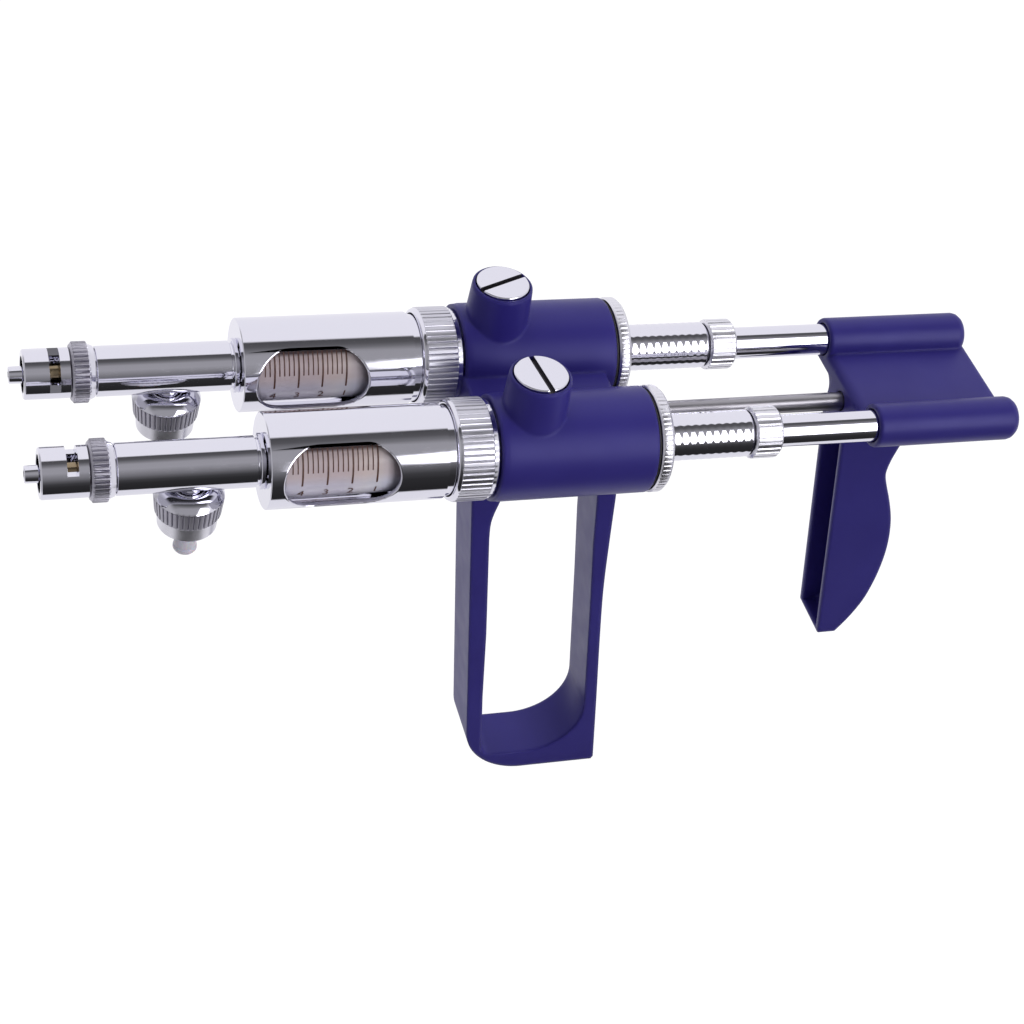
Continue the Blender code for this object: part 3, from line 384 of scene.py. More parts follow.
def moulded_plastic():
    material, nodes, links, shader = new_finish("blue moulded plastic", (0.025, 0.019, 0.165), 0.41)
    shader.inputs["Specular IOR Level"].default_value = 0.38
    shader.inputs["Specular Tint"].default_value = (0.6, 0.6, 1.0, 1.0)
    cloudy = grain(nodes, links, 45.0)
    links.new(tint(nodes, links, cloudy, (0.0225, 0.0165, 0.153), (0.0275, 0.0215, 0.177)),
              shader.inputs["Base Color"])
    links.new(spread(nodes, links, grain(nodes, links, 160.0), 0.38, 0.44),
              shader.inputs["Roughness"])
    relief(nodes, links, shader, grain(nodes, links, 400.0, detail=2.0), 0.05, 0.03, rounding=1.3)
    return material


def plated(name, colour, low, high, rounding=0.0, stretch=(1, 1, 1)):
    """Chrome plate with a light haze that varies over the piece."""
    material, nodes, links, shader = new_finish(name, colour, low, 1.0)
    links.new(spread(nodes, links, grain(nodes, links, 300.0, stretch), low, high),
              shader.inputs["Roughness"])
    relief(nodes, links, shader, grain(nodes, links, 900.0, stretch), 0.03, 0.02, rounding)
    return material


def drawn_steel():
    material, nodes, links, shader = new_finish("dull drawn steel", (0.37, 0.36, 0.38), 0.35, 1.0)
    streaks = grain(nodes, links, 500.0, (0.04, 1, 1), 4.0)
    links.new(tint(nodes, links, streaks, (0.30, 0.29, 0.31), (0.45, 0.44, 0.47)),
              shader.inputs["Base Color"])
    links.new(spread(nodes, links, streaks, 0.28, 0.42), shader.inputs["Roughness"])
    relief(nodes, links, shader, streaks, 0.1, 0.03)
    return material


def matt_rubber(name, dark, light):
    material, nodes, links, shader = new_finish(name, dark, 0.65)
    specks = grain(nodes, links, 700.0)
    links.new(tint(nodes, links, specks, dark, light), shader.inputs["Base Color"])
    relief(nodes, links, shader, specks, 0.2, 0.05)
    return material


def clear_glass():
    """Milky glass with painted light in its colour: a painted highlight just before the piston,
    painted shade at the piston, a warmer painted reflection above and a painted shadow along the
    top.
    """
    material, nodes, links, shader = new_finish("milky barrel glass with painted light", (0.9, 0.88, 0.93), 0.12)
    shader.inputs["Transmission Weight"].default_value = 0.3
    shader.inputs["IOR"].default_value = 1.5
    links.new(spread(nodes, links, grain(nodes, links, 60.0), 0.10, 0.16),
              shader.inputs["Roughness"])
    place = nodes.new("ShaderNodeTexCoord")
    axes = nodes.new("ShaderNodeSeparateXYZ")
    links.new(place.outputs["Object"], axes.inputs[0])

    def band(value, low, high, stops):
        share = nodes.new("ShaderNodeMapRange")
        share.inputs["From Min"].default_value = low * MM
        share.inputs["From Max"].default_value = high * MM
        ramp = nodes.new("ShaderNodeValToRGB")
        set_stops(ramp, [((station - low) / (high - low), colour) for station, colour in stops])
        links.new(value, share.inputs["Value"])
        links.new(share.outputs["Result"], ramp.inputs["Fac"])
        return ramp.outputs["Color"]

    # Painted light along the glass: a painted highlight from -31 to -25.8, then painted shade at
    # the piston's face
    length = band(axes.outputs["X"], -50, -20,
                  [(-50, (0.93, 0.90, 0.94)), (-36, (0.90, 0.86, 0.90)), (-31, (1.0, 0.96, 0.94)),
                   (-27.5, (1.0, 1.0, 1.0)), (-25.8, (0.95, 0.95, 1.0)),
                   (-23.8, (0.42, 0.41, 0.46))])
    # Painted reflection by height, lavender below and warmer above, then a painted shadow along the
    # window's top edge
    height = band(axes.outputs["Z"], -9, 9,
                  [(-9, (0.86, 0.87, 0.97)), (-0.5, (0.85, 0.85, 0.93)), (2.0, (0.80, 0.71, 0.70)),
                   (6.6, (0.72, 0.62, 0.60)), (7.1, (0.16, 0.13, 0.13))])
    both = nodes.new("ShaderNodeMix")
    both.data_type = "RGBA"
    both.blend_type = "MULTIPLY"
    both.inputs["Factor"].default_value = 1.0
    links.new(length, both.inputs["A"])
    links.new(height, both.inputs["B"])
    links.new(both.outputs["Result"], shader.inputs["Base Color"])
    return material


def milky_plastic(name, dark, light, weight):
    material, nodes, links, shader = new_finish(name, light, 0.35)
    shader.inputs["Subsurface Weight"].default_value = weight
    shader.inputs["Subsurface Scale"].default_value = 1.5 * MM
    clouds = grain(nodes, links, 260.0)
    links.new(tint(nodes, links, clouds, dark, light), shader.inputs["Base Color"])
    relief(nodes, links, shader, clouds, 0.08, 0.05)
    return material


def scale_paint():
    material, nodes, links, shader = new_finish("brown scale paint", (0.10, 0.045, 0.035), 0.5)
    specks = grain(nodes, links, 1500.0)
    links.new(tint(nodes, links, specks, (0.07, 0.032, 0.026), (0.14, 0.065, 0.045)),
              shader.inputs["Base Color"])
    return material


blue = moulded_plastic()
chrome = plated("polished chrome", (0.79, 0.785, 0.86), 0.04, 0.09)
knurled = plated("knurled chrome", (0.64, 0.635, 0.70), 0.28, 0.38)
bright_knurl = plated("bright knurled chrome", (0.80, 0.795, 0.85), 0.26, 0.36)
# Painted shade: a darker copy of the knurled chrome, for the dark reflections on the needle nuts
# and inlet nuts
painted_shade_knurl = plated("knurled chrome with painted shade", (0.46, 0.45, 0.51), 0.32, 0.42)
# Painted shade: dark plating put on the faces inside the screw slots, where shade falls
slot_painted_shade = plated("painted shade in the slots", (0.16, 0.15, 0.17), 0.35, 0.5)
brass = plated("turned brass", (0.32, 0.25, 0.16), 0.15, 0.3)
steel = drawn_steel()
black_rubber = matt_rubber("black rubber", (0.012, 0.012, 0.014), (0.022, 0.022, 0.025))
grey_rubber = matt_rubber("grey rubber", (0.24, 0.24, 0.25), (0.34, 0.34, 0.35))
glass = clear_glass()
piston_plastic = milky_plastic("pale piston plastic", (0.62, 0.62, 0.64), (0.74, 0.74, 0.76), 0.1)
nipple_plastic = milky_plastic("milky nipple plastic", (0.48, 0.47, 0.53), (0.60, 0.59, 0.65), 0.3)
ink = scale_paint()


# Camera, fitted to the photograph; the focal length is in the photograph's pixels

CAMERA_PLACE = (-145.69, -370.17, 325.09)
CAMERA_AIM = (0.3006, 0.6806, -0.6681)
CAMERA_ROLL = 12.57
FOCAL_LENGTH = 2141.5
PHOTO_WIDTH = 1024
SENSOR_WIDTH = 36.0


def set_camera():
    forward = Vector(CAMERA_AIM).normalized()
    level = forward.cross(Vector((0, 0, 1))).normalized()
    upright = level.cross(forward)
    roll = math.radians(CAMERA_ROLL)
    across = level * math.cos(roll) + upright * math.sin(roll)
    up = upright * math.cos(roll) - level * math.sin(roll)
    bpy.ops.object.camera_add()
    camera = bpy.context.object
    stand = Matrix((across, up, -forward)).transposed().to_4x4()
    stand.translation = point(*CAMERA_PLACE)
    camera.matrix_world = stand
    camera.data.sensor_width = SENSOR_WIDTH
    camera.data.lens = FOCAL_LENGTH / PHOTO_WIDTH * SENSOR_WIDTH
    camera.data.clip_start = 0.01
    bpy.context.scene.camera = camera


set_camera()


# Surroundings: a pale floor, and a studio that polished metal can mirror

def set_studio():
    """Walls by the angle round the syringes' axis, and one long lamp that widens to the rear."""
    world = bpy.data.worlds.new("studio")
    bpy.context.scene.world = world
    world.use_nodes = True
    nodes, links = world.node_tree.nodes, world.node_tree.links
    backdrop = nodes["Background"]

    def number(value, socket):
        if isinstance(value, (int, float)):
            socket.default_value = value
        else:
            links.new(value, socket)

    def work(operation, first, second=0.0):
        node = nodes.new("ShaderNodeMath")
        node.operation = operation
        number(first, node.inputs[0])
        number(second, node.inputs[1])
        return node.outputs[0]

    def step(value, start, end, low=0.0, high=1.0):
        node = nodes.new("ShaderNodeMapRange")
        node.interpolation_type = "SMOOTHSTEP"
        number(value, node.inputs["Value"])
        number(start, node.inputs["From Min"])
        number(end, node.inputs["From Max"])
        number(low, node.inputs["To Min"])
        number(high, node.inputs["To Max"])
        return node.outputs["Result"]

    def blend(factor, below, above):
        node = nodes.new("ShaderNodeMix")
        node.data_type = "FLOAT"
        number(factor, node.inputs["Factor"])
        number(below, node.inputs["A"])
        number(above, node.inputs["B"])
        return node.outputs["Result"]

    place = nodes.new("ShaderNodeTexCoord")
    parts = nodes.new("ShaderNodeSeparateXYZ")
    links.new(place.outputs["Generated"], parts.inputs[0])
    x, y, z = parts.outputs
    front = work("MULTIPLY", y, -1.0)
    height = work("MULTIPLY", work("ARCTAN2", z, front), 180 / math.pi)
    wall = nodes.new("ShaderNodeValToRGB")
    bands = [(-180, 0.97), (-139, 0.97), (-136, 0.90), (-65, 0.90), (-61, 0.02), (-25, 0.03),
             (-10, 0.055), (0, 0.11), (12, 0.20), (25, 0.28), (40, 0.38), (60, 0.37), (70, 0.22),
             (80, 0.11), (93, 0.08), (97, 0.97)]
    set_stops(wall, [((turn + 180) / 360, (value, value, value)) for turn, value in bands])
    links.new(work("DIVIDE", work("ADD", height, 180.0), 360.0), wall.inputs["Fac"])
    low = step(x, 0.24, 0.42, 15.5, 3.5)
    high = step(x, 0.20, 0.44, 30.0, 58.0)
    lamp = work("MULTIPLY", step(height, work("SUBTRACT", low, 4.0), work("ADD", low, 4.0)),
                step(height, work("ADD", high, 5.0), work("SUBTRACT", high, 5.0)))
    lamp = work("MULTIPLY", lamp, step(x, 0.205, 0.30))
    room = blend(lamp, wall.outputs["Color"], 4.8)
    with_rear = blend(step(x, 0.55, 0.8), room, 0.85)
    with_front = blend(step(x, -0.55, -0.8), with_rear, 0.5)
    colour = nodes.new("ShaderNodeMix")
    colour.data_type = "RGBA"
    colour.inputs["A"].default_value = (0.0, 0.0, 0.0, 1.0)
    colour.inputs["B"].default_value = (0.97, 0.96, 1.0, 1.0)
    colour.clamp_factor = False
    links.new(with_front, colour.inputs["Factor"])
    seen = nodes.new("ShaderNodeLightPath")
    plain = nodes.new("ShaderNodeMix")
    plain.data_type = "RGBA"
    plain.inputs["B"].default_value = (1.0, 1.0, 1.0, 1.0)
    links.new(seen.outputs["Is Camera Ray"], plain.inputs["Factor"])
    links.new(colour.outputs["Result"], plain.inputs["A"])
    links.new(plain.outputs["Result"], backdrop.inputs["Color"])
    backdrop.inputs["Strength"].default_value = 1.0


def set_floor():
    """A matt floor that looks almost white to the camera, and grey to the pieces above it."""
    bpy.ops.object.select_all(action="DESELECT")
    bpy.ops.mesh.primitive_plane_add(size=6.0, location=point(20, 0, FLOOR))
    floor = name_piece("studio_floor")
    material = bpy.data.materials.new("white floor")
    material.use_nodes = True
    nodes, links = material.node_tree.nodes, material.node_tree.links
    shader = nodes["Principled BSDF"]
    shader.inputs["Base Color"].default_value = (0.5, 0.5, 0.51, 1.0)
    shader.inputs["Roughness"].default_value = 0.9
    glow = nodes.new("ShaderNodeEmission")
    glow.inputs["Strength"].default_value = 1.16
    seen = nodes.new("ShaderNodeLightPath")
    share = nodes.new("ShaderNodeMath")
    share.operation = "MULTIPLY"
    share.inputs[1].default_value = 0.85
    mix = nodes.new("ShaderNodeMixShader")
    links.new(seen.outputs["Is Camera Ray"], share.inputs[0])
    links.new(share.outputs[0], mix.inputs["Fac"])
    links.new(shader.outputs["BSDF"], mix.inputs[1])
    links.new(glow.outputs["Emission"], mix.inputs[2])
    links.new(mix.outputs["Shader"], nodes["Material Output"].inputs["Surface"])
    floor.data.materials.append(material)
    floor.visible_glossy = False


def set_top_lamp():
    """A wide soft lamp above and behind, for the matt and the moulded surfaces only."""
    bpy.ops.object.light_add(type="SUN")
    lamp = bpy.context.object
    lamp.name = "top_lamp"
    lamp.data.energy = 0.7
    lamp.data.angle = math.radians(70)
    lamp.rotation_euler = Vector((0.15, 0.3, 0.94)).to_track_quat("Z", "Y").to_euler()
    lamp.visible_glossy = False


set_studio()
set_floor()
set_top_lamp()
bpy.context.scene.view_settings.view_transform = "Standard"


# Barrels

def barrel_sleeves():
    """A tube with a long round-ended window, leaning a little, through both of its faces."""
    outline = [(-53.0, 4.5), (-53.0, 11.0), (-52.8, 11.25), (-11.7, 11.25), (-11.7, 10.6),
               (-0.7, 10.6), (-0.7, 9.9), (5.7, 9.9), (5.7, 9.1), (-20.0, 9.1), (-20.4, 10.1),
               (-51.1, 10.1), (-51.1, 4.5)]
    sleeve = lathe("sleeve", outline, LEFT, steps=128)
    bend, stretch, lean = -41.85, 10.8, math.radians(-10)
    bpy.ops.object.select_all(action="DESELECT")
    bpy.ops.mesh.primitive_cylinder_add(vertices=96, radius=7.95 * MM, depth=60 * MM,
                                        location=point(bend, LEFT[1], 0),
                                        rotation=(math.pi / 2, 0, 0))
    window = name_piece("window")
    select_points(window, lambda place: place.x > bend + 0.05)
    bpy.ops.transform.translate(value=point(stretch, 0, 0))
    bpy.ops.object.mode_set(mode="OBJECT")
    window.matrix_world = (Matrix.Translation(point(*LEFT)) @ Matrix.Rotation(lean, 4, "X")
                           @ Matrix.Translation(-point(*LEFT)))
    bpy.ops.object.transform_apply(location=True, rotation=True, scale=True)
    combine(sleeve, window, "DIFFERENCE")

    def on_rim(place):
        return -50.2 < place.x < -22.7 and math.hypot(place.y - LEFT[1], place.z) > 11.1
    select_edges(sleeve, lambda a, b: on_rim(a) and on_rim(b))
    bpy.ops.mesh.bevel(offset=0.55 * MM, segments=3, affect="EDGES")
    bpy.ops.object.mode_set(mode="OBJECT")
    soften(sleeve, 0.14, 2, 50)
    dress_pair(sleeve, "polished_barrel", chrome, "chrome", "frame", "barrel_sleeve")


def glass_tubes():
    outline = [(-49.3, 7.4), (-49.3, 8.6), (-49.1, 8.8), (1.8, 8.8), (2.0, 8.6), (2.0, 7.4)]
    tube = lathe("glass", outline, LEFT, steps=96)
    dress_pair(tube, "clear_glass", glass, "glass", "frame", "glass_barrel")


def dose_scales():
    """Printed ticks and plain numbers, drawn just outside each glass."""
    first, pitch = -47.66, 1.154
    high, tick_radius = 75.0, 8.83
    number_turn, number_radius = -21.0, 8.87

    def on_glass(place, radius, degrees):
        turn = math.radians(degrees)
        return point(first + pitch * place, LEFT[1] - radius * math.cos(turn),
                     radius * math.sin(turn))
    marks = []
    for place in range(18):
        is_long = place % 5 == 2
        width = 0.42 if is_long else 0.3
        low = -3.0 if is_long else 19.0
        bpy.ops.object.select_all(action="DESELECT")
        bpy.ops.mesh.primitive_circle_add(vertices=3, radius=MM,
                                          location=on_glass(place, tick_radius, high))
        mark = name_piece("tick")
        bpy.ops.object.mode_set(mode="EDIT")
        bpy.ops.mesh.merge(type="CENTER")
        bpy.ops.transform.translate(value=point(-width / 2, 0, 0))
        bpy.ops.mesh.extrude_region_move(TRANSFORM_OT_translate={"value": point(width, 0, 0)})
        bpy.ops.mesh.select_all(action="SELECT")
        bpy.ops.mesh.spin(steps=24, angle=math.radians(low - high), center=point(*LEFT),
                          axis=(1, 0, 0))
        bpy.ops.object.mode_set(mode="OBJECT")
        marks.append(mark)
    lean = Matrix.Rotation(math.radians(90) - math.radians(number_turn), 4, "X")
    for number, place in zip("4321", (2, 7, 12, 17)):
        bpy.ops.object.select_all(action="DESELECT")
        bpy.ops.object.text_add()
        digit = bpy.context.object
        digit.data.body = number
        digit.data.size = 3.4 * MM
        digit.data.align_x = "CENTER"
        digit.data.align_y = "CENTER"
        digit.data.resolution_u = 4
        bpy.ops.object.convert(target="MESH")
        digit = bpy.context.object
        spot = on_glass(place, number_radius, number_turn)
        digit.matrix_world = Matrix.Translation(spot) @ lean
        marks.append(name_piece("number"))
    scale = join(marks[0], *marks[1:])
    only(scale)
    skin = scale.modifiers.new("skin", "SOLIDIFY")
    skin.thickness = 0.02 * MM
    skin.offset = 0.0
    bpy.ops.object.modifier_apply(modifier=skin.name)
    bpy.ops.object.mode_set(mode="EDIT")
    tidy_mesh()
    bpy.ops.object.mode_set(mode="OBJECT")
    dress_pair(scale, "printed_scale", ink, "glass", "frame", None)


def barrel_rings():
    outline = [(-9.8, 10.9), (-9.8, 11.3), (-9.6, 11.75), (-9.1, 12.02), (-8.8, 12.05),
               (-8.7, 12.2), (-1.4, 12.2), (-1.2, 11.95), (-0.1, 11.85), (0.2, 11.5), (0.2, 10.9)]
    ring = lathe("ring", outline, LEFT, steps=312)
    knurl(ring, LEFT, "X", 52, 6, 0.24, 12.2, -8.75, -1.35)
    soften(ring, 0.05, 1, 30)
    pair = dress_pair(ring, "knurled_barrel_ring", knurled, "knurled_chrome", "barrel_nut",
                      "barrel_nut", KNURL_ANGLE)
    finish_faces(pair, chrome, lambda place: not -8.8 < place.x < -1.25)


# Front ends

def front_tubes():
    outline = [(-89.1, 3.0), (-89.1, 5.0), (-88.9, 5.2), (-86.2, 5.2), (-86.2, 5.8), (-86.05, 5.95),
               (-54.9, 5.95), (-54.9, 5.4), (-54.2, 5.4), (-54.2, 6.35), (-54.05, 6.5),
               (-53.3, 6.5), (-53.3, 4.2), (-51.4, 4.2), (-51.4, 1.5), (-78.1, 1.5), (-78.1, 3.0)]
    tube = lathe("tube", outline, LEFT, steps=128)
    outline = [(-2.0, 0.0), (-2.0, 3.3), (-7.2, 3.3), (-7.2, 4.6), (-13.3, 4.6), (-13.6, 4.3),
               (-13.6, 0.0)]
    boss = lathe("boss", outline, INLET, "Z", 72, ring=False)
    combine(tube, boss, "UNION")
    drill(tube, INLET, -5.0, -15.0, 2.9, "Z", 48)
    drill(tube, INLET, 0.0, -6.0, 1.35, "Z", 32)
    soften(tube, 0.12, 2, 45)
    dress_pair(tube, "polished_front_tube", chrome, "chrome", "frame", "front_tube")


def needle_nuts():
    outline = [(-91.9, 4.0), (-91.9, 6.5), (-91.5, 6.85), (-91.3, 7.2), (-88.1, 7.2), (-87.9, 6.75),
               (-87.6, 6.5), (-86.7, 6.15), (-86.5, 6.02), (-86.5, 5.5), (-90.7, 5.5), (-90.7, 4.0)]
    nut = lathe("nut", outline, LEFT, steps=144)
    knurl(nut, LEFT, "X", 36, 4, 0.65, 7.2, -91.35, -88.05)
    soften(nut, 0.05, 1, 30)
    # The needle nuts' knurls take the darker knurled chrome, as painted shade
    pair = dress_pair(nut, "knurled_needle_nut", painted_shade_knurl, "knurled_chrome", "needle_nut",
                      "needle_nut", KNURL_ANGLE)
    finish_faces(pair, chrome, lambda place: place.x > -88.0)


def needle_ends():
    """Slotted sleeves round the tips, which are brass behind their chromed end."""
    outline = [(-102.8, 4.3), (-102.8, 5.55), (-102.45, 5.9), (-92.2, 5.9), (-92.2, 3.7),
               (-90.9, 3.7), (-90.9, 2.9), (-93.7, 2.9), (-93.7, 4.3)]
    for side, across in AXES.items():
        centre = (0.0, across, 0.0)
        sleeve = lathe(side + "_slotted_sleeve", outline, centre, steps=96)
        cutter = slot_tool("slot", (-97.0, across - 5.9, 2.4), (-94.5, across + 5.9, 12.0), centre,
                           "X", SLEEVE_SLOT_TURN[side])
        combine(sleeve, cutter, "DIFFERENCE")
        soften(sleeve, 0.1, 2, 40)
        dress(sleeve, chrome, "chrome", "frame", side + "_needle_sleeve")
    outline = [(-105.9, 1.0), (-105.9, 1.82), (-105.75, 1.97), (-101.0, 2.11), (-93.7, 2.32),
               (-93.7, 2.6), (-90.6, 2.6), (-90.6, 4.6), (-89.4, 4.6), (-89.4, 1.0)]
    tip = lathe("tip", outline, LEFT, steps=64)
    soften(tip, 0.08, 2, 40)
    pair = dress_pair(tip, "luer_tip", chrome, "chrome", "frame", "luer_core")
    finish_faces(pair, brass, lambda place: place.x > -101.0)


# Inlets, hanging under the front tubes

def inlet_nuts():
    outline = [(-6.9, 3.5), (-6.3, 3.6), (-6.2, 4.2), (-6.3, 5.2), (-6.65, 6.2), (-7.2, 7.0),
               (-7.9, 7.7), (-8.35, 8.1), (-8.6, 8.15), (-13.2, 7.7), (-13.45, 7.35),
               (-13.6, 7.05), (-17.4, 6.85), (-17.7, 6.5), (-17.7, 3.1), (-15.5, 3.1),
               (-15.5, 4.9), (-6.9, 4.9)]
    nut = lathe("nut", outline, INLET, "Z", 240)
    knurl(nut, INLET, "Z", 40, 6, 0.45, 8.0, -13.25, -8.55)
    soften(nut, 0.05, 1, 30)
    # The inlet nuts' knurls take the darker knurled chrome, as painted shade
    pair = dress_pair(nut, "knurled_inlet_nut", painted_shade_knurl, "knurled_chrome", "inlet_nut",
                      "inlet_nut", KNURL_ANGLE)
    finish_faces(pair, chrome, lambda place: place.z > -8.4)
    finish_faces(pair, bright_knurl, lambda place: place.z < -13.4)


def nipples():
    outline = [(-13.9, 1.3), (-13.9, 4.2), (-15.2, 4.2), (-15.2, 2.8), (-20.0, 2.8), (-20.2, 2.6),
               (-24.4, 2.6), (-24.6, 2.8), (-25.4, 2.8), (-26.1, 2.35), (-26.1, 1.3)]
    nipple = lathe("nipple", outline, INLET, "Z", 64)
    soften(nipple, 0.12, 2, 30)
    dress_pair(nipple, "milky_nipple", nipple_plastic, "white_plastic", "frame", "feed_nipple")


# Slotted screws in the bosses

def boss_screws():
    outline = [(6.4, 0.0), (6.4, 2.4), (19.2, 2.4), (19.2, 6.25), (19.35, 6.4), (21.95, 6.4),
               (22.2, 6.15), (22.2, 0.0)]
    for side, across in AXES.items():
        centre = (BOSS_STATION, across, 0.0)
        screw = lathe(side + "_slotted_screw", outline, centre, "Z", 96, ring=False)
        cutter = slot_tool("slot", (BOSS_STATION - 12.0, across - 0.65, 20.8),
                           (BOSS_STATION + 12.0, across + 0.65, 24.0), centre, "Z",
                           SCREW_SLOT_TURN[side])
        combine(screw, cutter, "DIFFERENCE")
        soften(screw, 0.07, 2, 40)
        dress(screw, chrome, "chrome", side + "_boss_screw", side + "_boss_screw")

        def in_slot(place):
            out = math.hypot(place.x - BOSS_STATION, place.y - across)
            return 20.7 < place.z < 22.1 and out < 6.2
        # The faces inside the slot take the painted shade
        finish_faces([screw], slot_painted_shade, in_slot)


# Dose adjusters

def washers_and_lock_rings():
    outline = [(39.0, 6.1), (39.0, 12.3), (39.65, 12.3), (39.65, 6.1)]
    washer = lathe("washer", outline, LEFT, steps=96)
    soften(washer, 0.2, 3)
    dress_pair(washer, "black_washer", black_rubber, "black_rubber", "frame", "rear_washer")
    outline = [(39.8, 6.1), (39.8, 12.5), (40.15, 12.75), (40.3, 12.9), (42.2, 12.9), (42.35, 12.7),
               (42.9, 12.3), (42.9, 6.1)]
    ring = lathe("ring", outline, LEFT, steps=384)
    knurl(ring, LEFT, "X", 64, 6, 0.14, 12.9, 40.25, 42.25)
    soften(ring, 0.05, 1, 30)
    dress_pair(ring, "knurled_lock_ring", bright_knurl, "knurled_chrome", "lock_ring",
               "lock_ring", KNURL_ANGLE)


def thread(start, end, crest, root, pitch):
    """A real helical thread: one groove and crest drawn, then screwed along the axis."""
    shape = [(step / 6, (1 - math.cos(math.tau * step / 12)) / 2) for step in range(13)]
    outline = [point(along * pitch / 2, 0, root + (crest - root) * rise) for along, rise in shape]
    bpy.ops.object.select_all(action="DESELECT")
    bpy.ops.mesh.primitive_circle_add(vertices=3, radius=MM, location=outline[0])
    rod = name_piece("thread")
    draw_line(outline)
    bpy.ops.object.mode_set(mode="OBJECT")
    turns = math.ceil((end - start) / pitch) + 3
    screw = rod.modifiers.new("screw", "SCREW")
    screw.axis = "X"
    screw.angle = math.tau
    screw.screw_offset = pitch * MM
    screw.iterations = turns
    screw.steps = 48
    screw.render_steps = 48
    screw.use_merge_vertices = True
    screw.merge_threshold = 0.002 * MM
    bpy.ops.object.modifier_apply(modifier=screw.name)
    bpy.ops.object.mode_set(mode="EDIT")
    bpy.ops.mesh.select_all(action="SELECT")
    bpy.ops.transform.translate(value=point(start - 1.7 * pitch, LEFT[1], LEFT[2]))
    tidy_mesh()
    for station, inner, outer in ((start, True, False), (end, False, True)):
        bpy.ops.mesh.select_all(action="SELECT")
        bpy.ops.mesh.bisect(plane_co=point(station, 0, 0), plane_no=(1, 0, 0), clear_inner=inner,
                            clear_outer=outer, use_fill=True)
    tidy_mesh()
    bpy.ops.object.mode_set(mode="OBJECT")
    return rod


def dose_screws():
    screw = thread(36.0, 66.6, 5.8, 5.75, 2.0)
    chamfer = lathe("chamfer", [(65.4, 9.0), (65.4, 6.3), (66.9, 5.0), (66.9, 9.0)], LEFT, steps=64)
    combine(screw, chamfer, "DIFFERENCE")
    drill(screw, LEFT, 30.0, 70.0, 4.6)
    outline = [(-14.3, 4.3), (-14.3, 4.98), (73.45, 4.98), (73.7, 4.75), (73.7, 4.3)]
    tube = lathe("tube", outline, LEFT, steps=64)
    join(screw, tube)
    dress_pair(screw, "threaded_dose_tube", chrome, "chrome", "dose_screw", "dose_screw", 40)


def dose_knobs():
    outline = [(66.9, 5.3), (66.9, 5.7), (67.2, 6.05), (67.3, 6.35), (73.4, 6.35), (73.5, 6.1),
               (74.0, 5.7), (74.0, 5.3)]
    knob = lathe("knob", outline, LEFT, steps=182)
    knurl(knob, LEFT, "X", 26, 7, 0.26, 6.35, 67.25, 73.45)
    soften(knob, 0.05, 1, 30)
    dress_pair(knob, "knurled_dose_knob", bright_knurl, "knurled_chrome", "dose_screw",
               "dose_knob", KNURL_ANGLE)


# Plunger

def piston_rods():
    outline = [(-19.7, 0.0), (-19.7, 2.5), (-15.9, 2.5), (-15.6, 4.0), (124.1, 4.0), (124.1, 0.0)]
    rod = lathe("rod", outline, LEFT, steps=72, ring=False)
    dress_pair(rod, "piston_shaft", chrome, "chrome", "plunger", "piston_rod")
    outline = [(-24.0, 0.0), (-24.0, 6.9), (-23.7, 7.2), (-22.4, 7.2), (-22.4, 5.9), (-17.5, 5.9),
               (-17.5, 7.2), (-15.9, 7.2), (-15.9, 2.8), (-20.0, 2.8), (-20.0, 0.0)]
    head = lathe("head", outline, LEFT, steps=72, ring=False)
    soften(head, 0.12, 2, 40)
    dress_pair(head, "piston_head", piston_plastic, "white_plastic", "plunger", "piston")
    seal = lathe("seal", [(-22.1, 6.2), (-22.1, 6.8), (-21.4, 7.2), (-20.6, 6.9), (-19.3, 6.9),
                          (-18.5, 7.2), (-17.8, 6.8), (-17.8, 6.2)], LEFT, steps=72)
    soften(seal, 0.15, 2, 20)
    dress_pair(seal, "piston_ring_seal", grey_rubber, "grey_rubber", "plunger", "piston_seal")


def guide_rod():
    outline = [(25.8, 1.75), (25.8, 2.15), (26.0, 2.35), (109.7, 2.35), (109.9, 2.15), (109.9, 0.0),
               (100.9, 0.0), (100.9, 1.75)]
    rod = lathe("drawn_guide_rod", outline, GUIDE, steps=64, ring=False)
    dress(rod, steel, "steel", "plunger", "guide_rod")


# Body

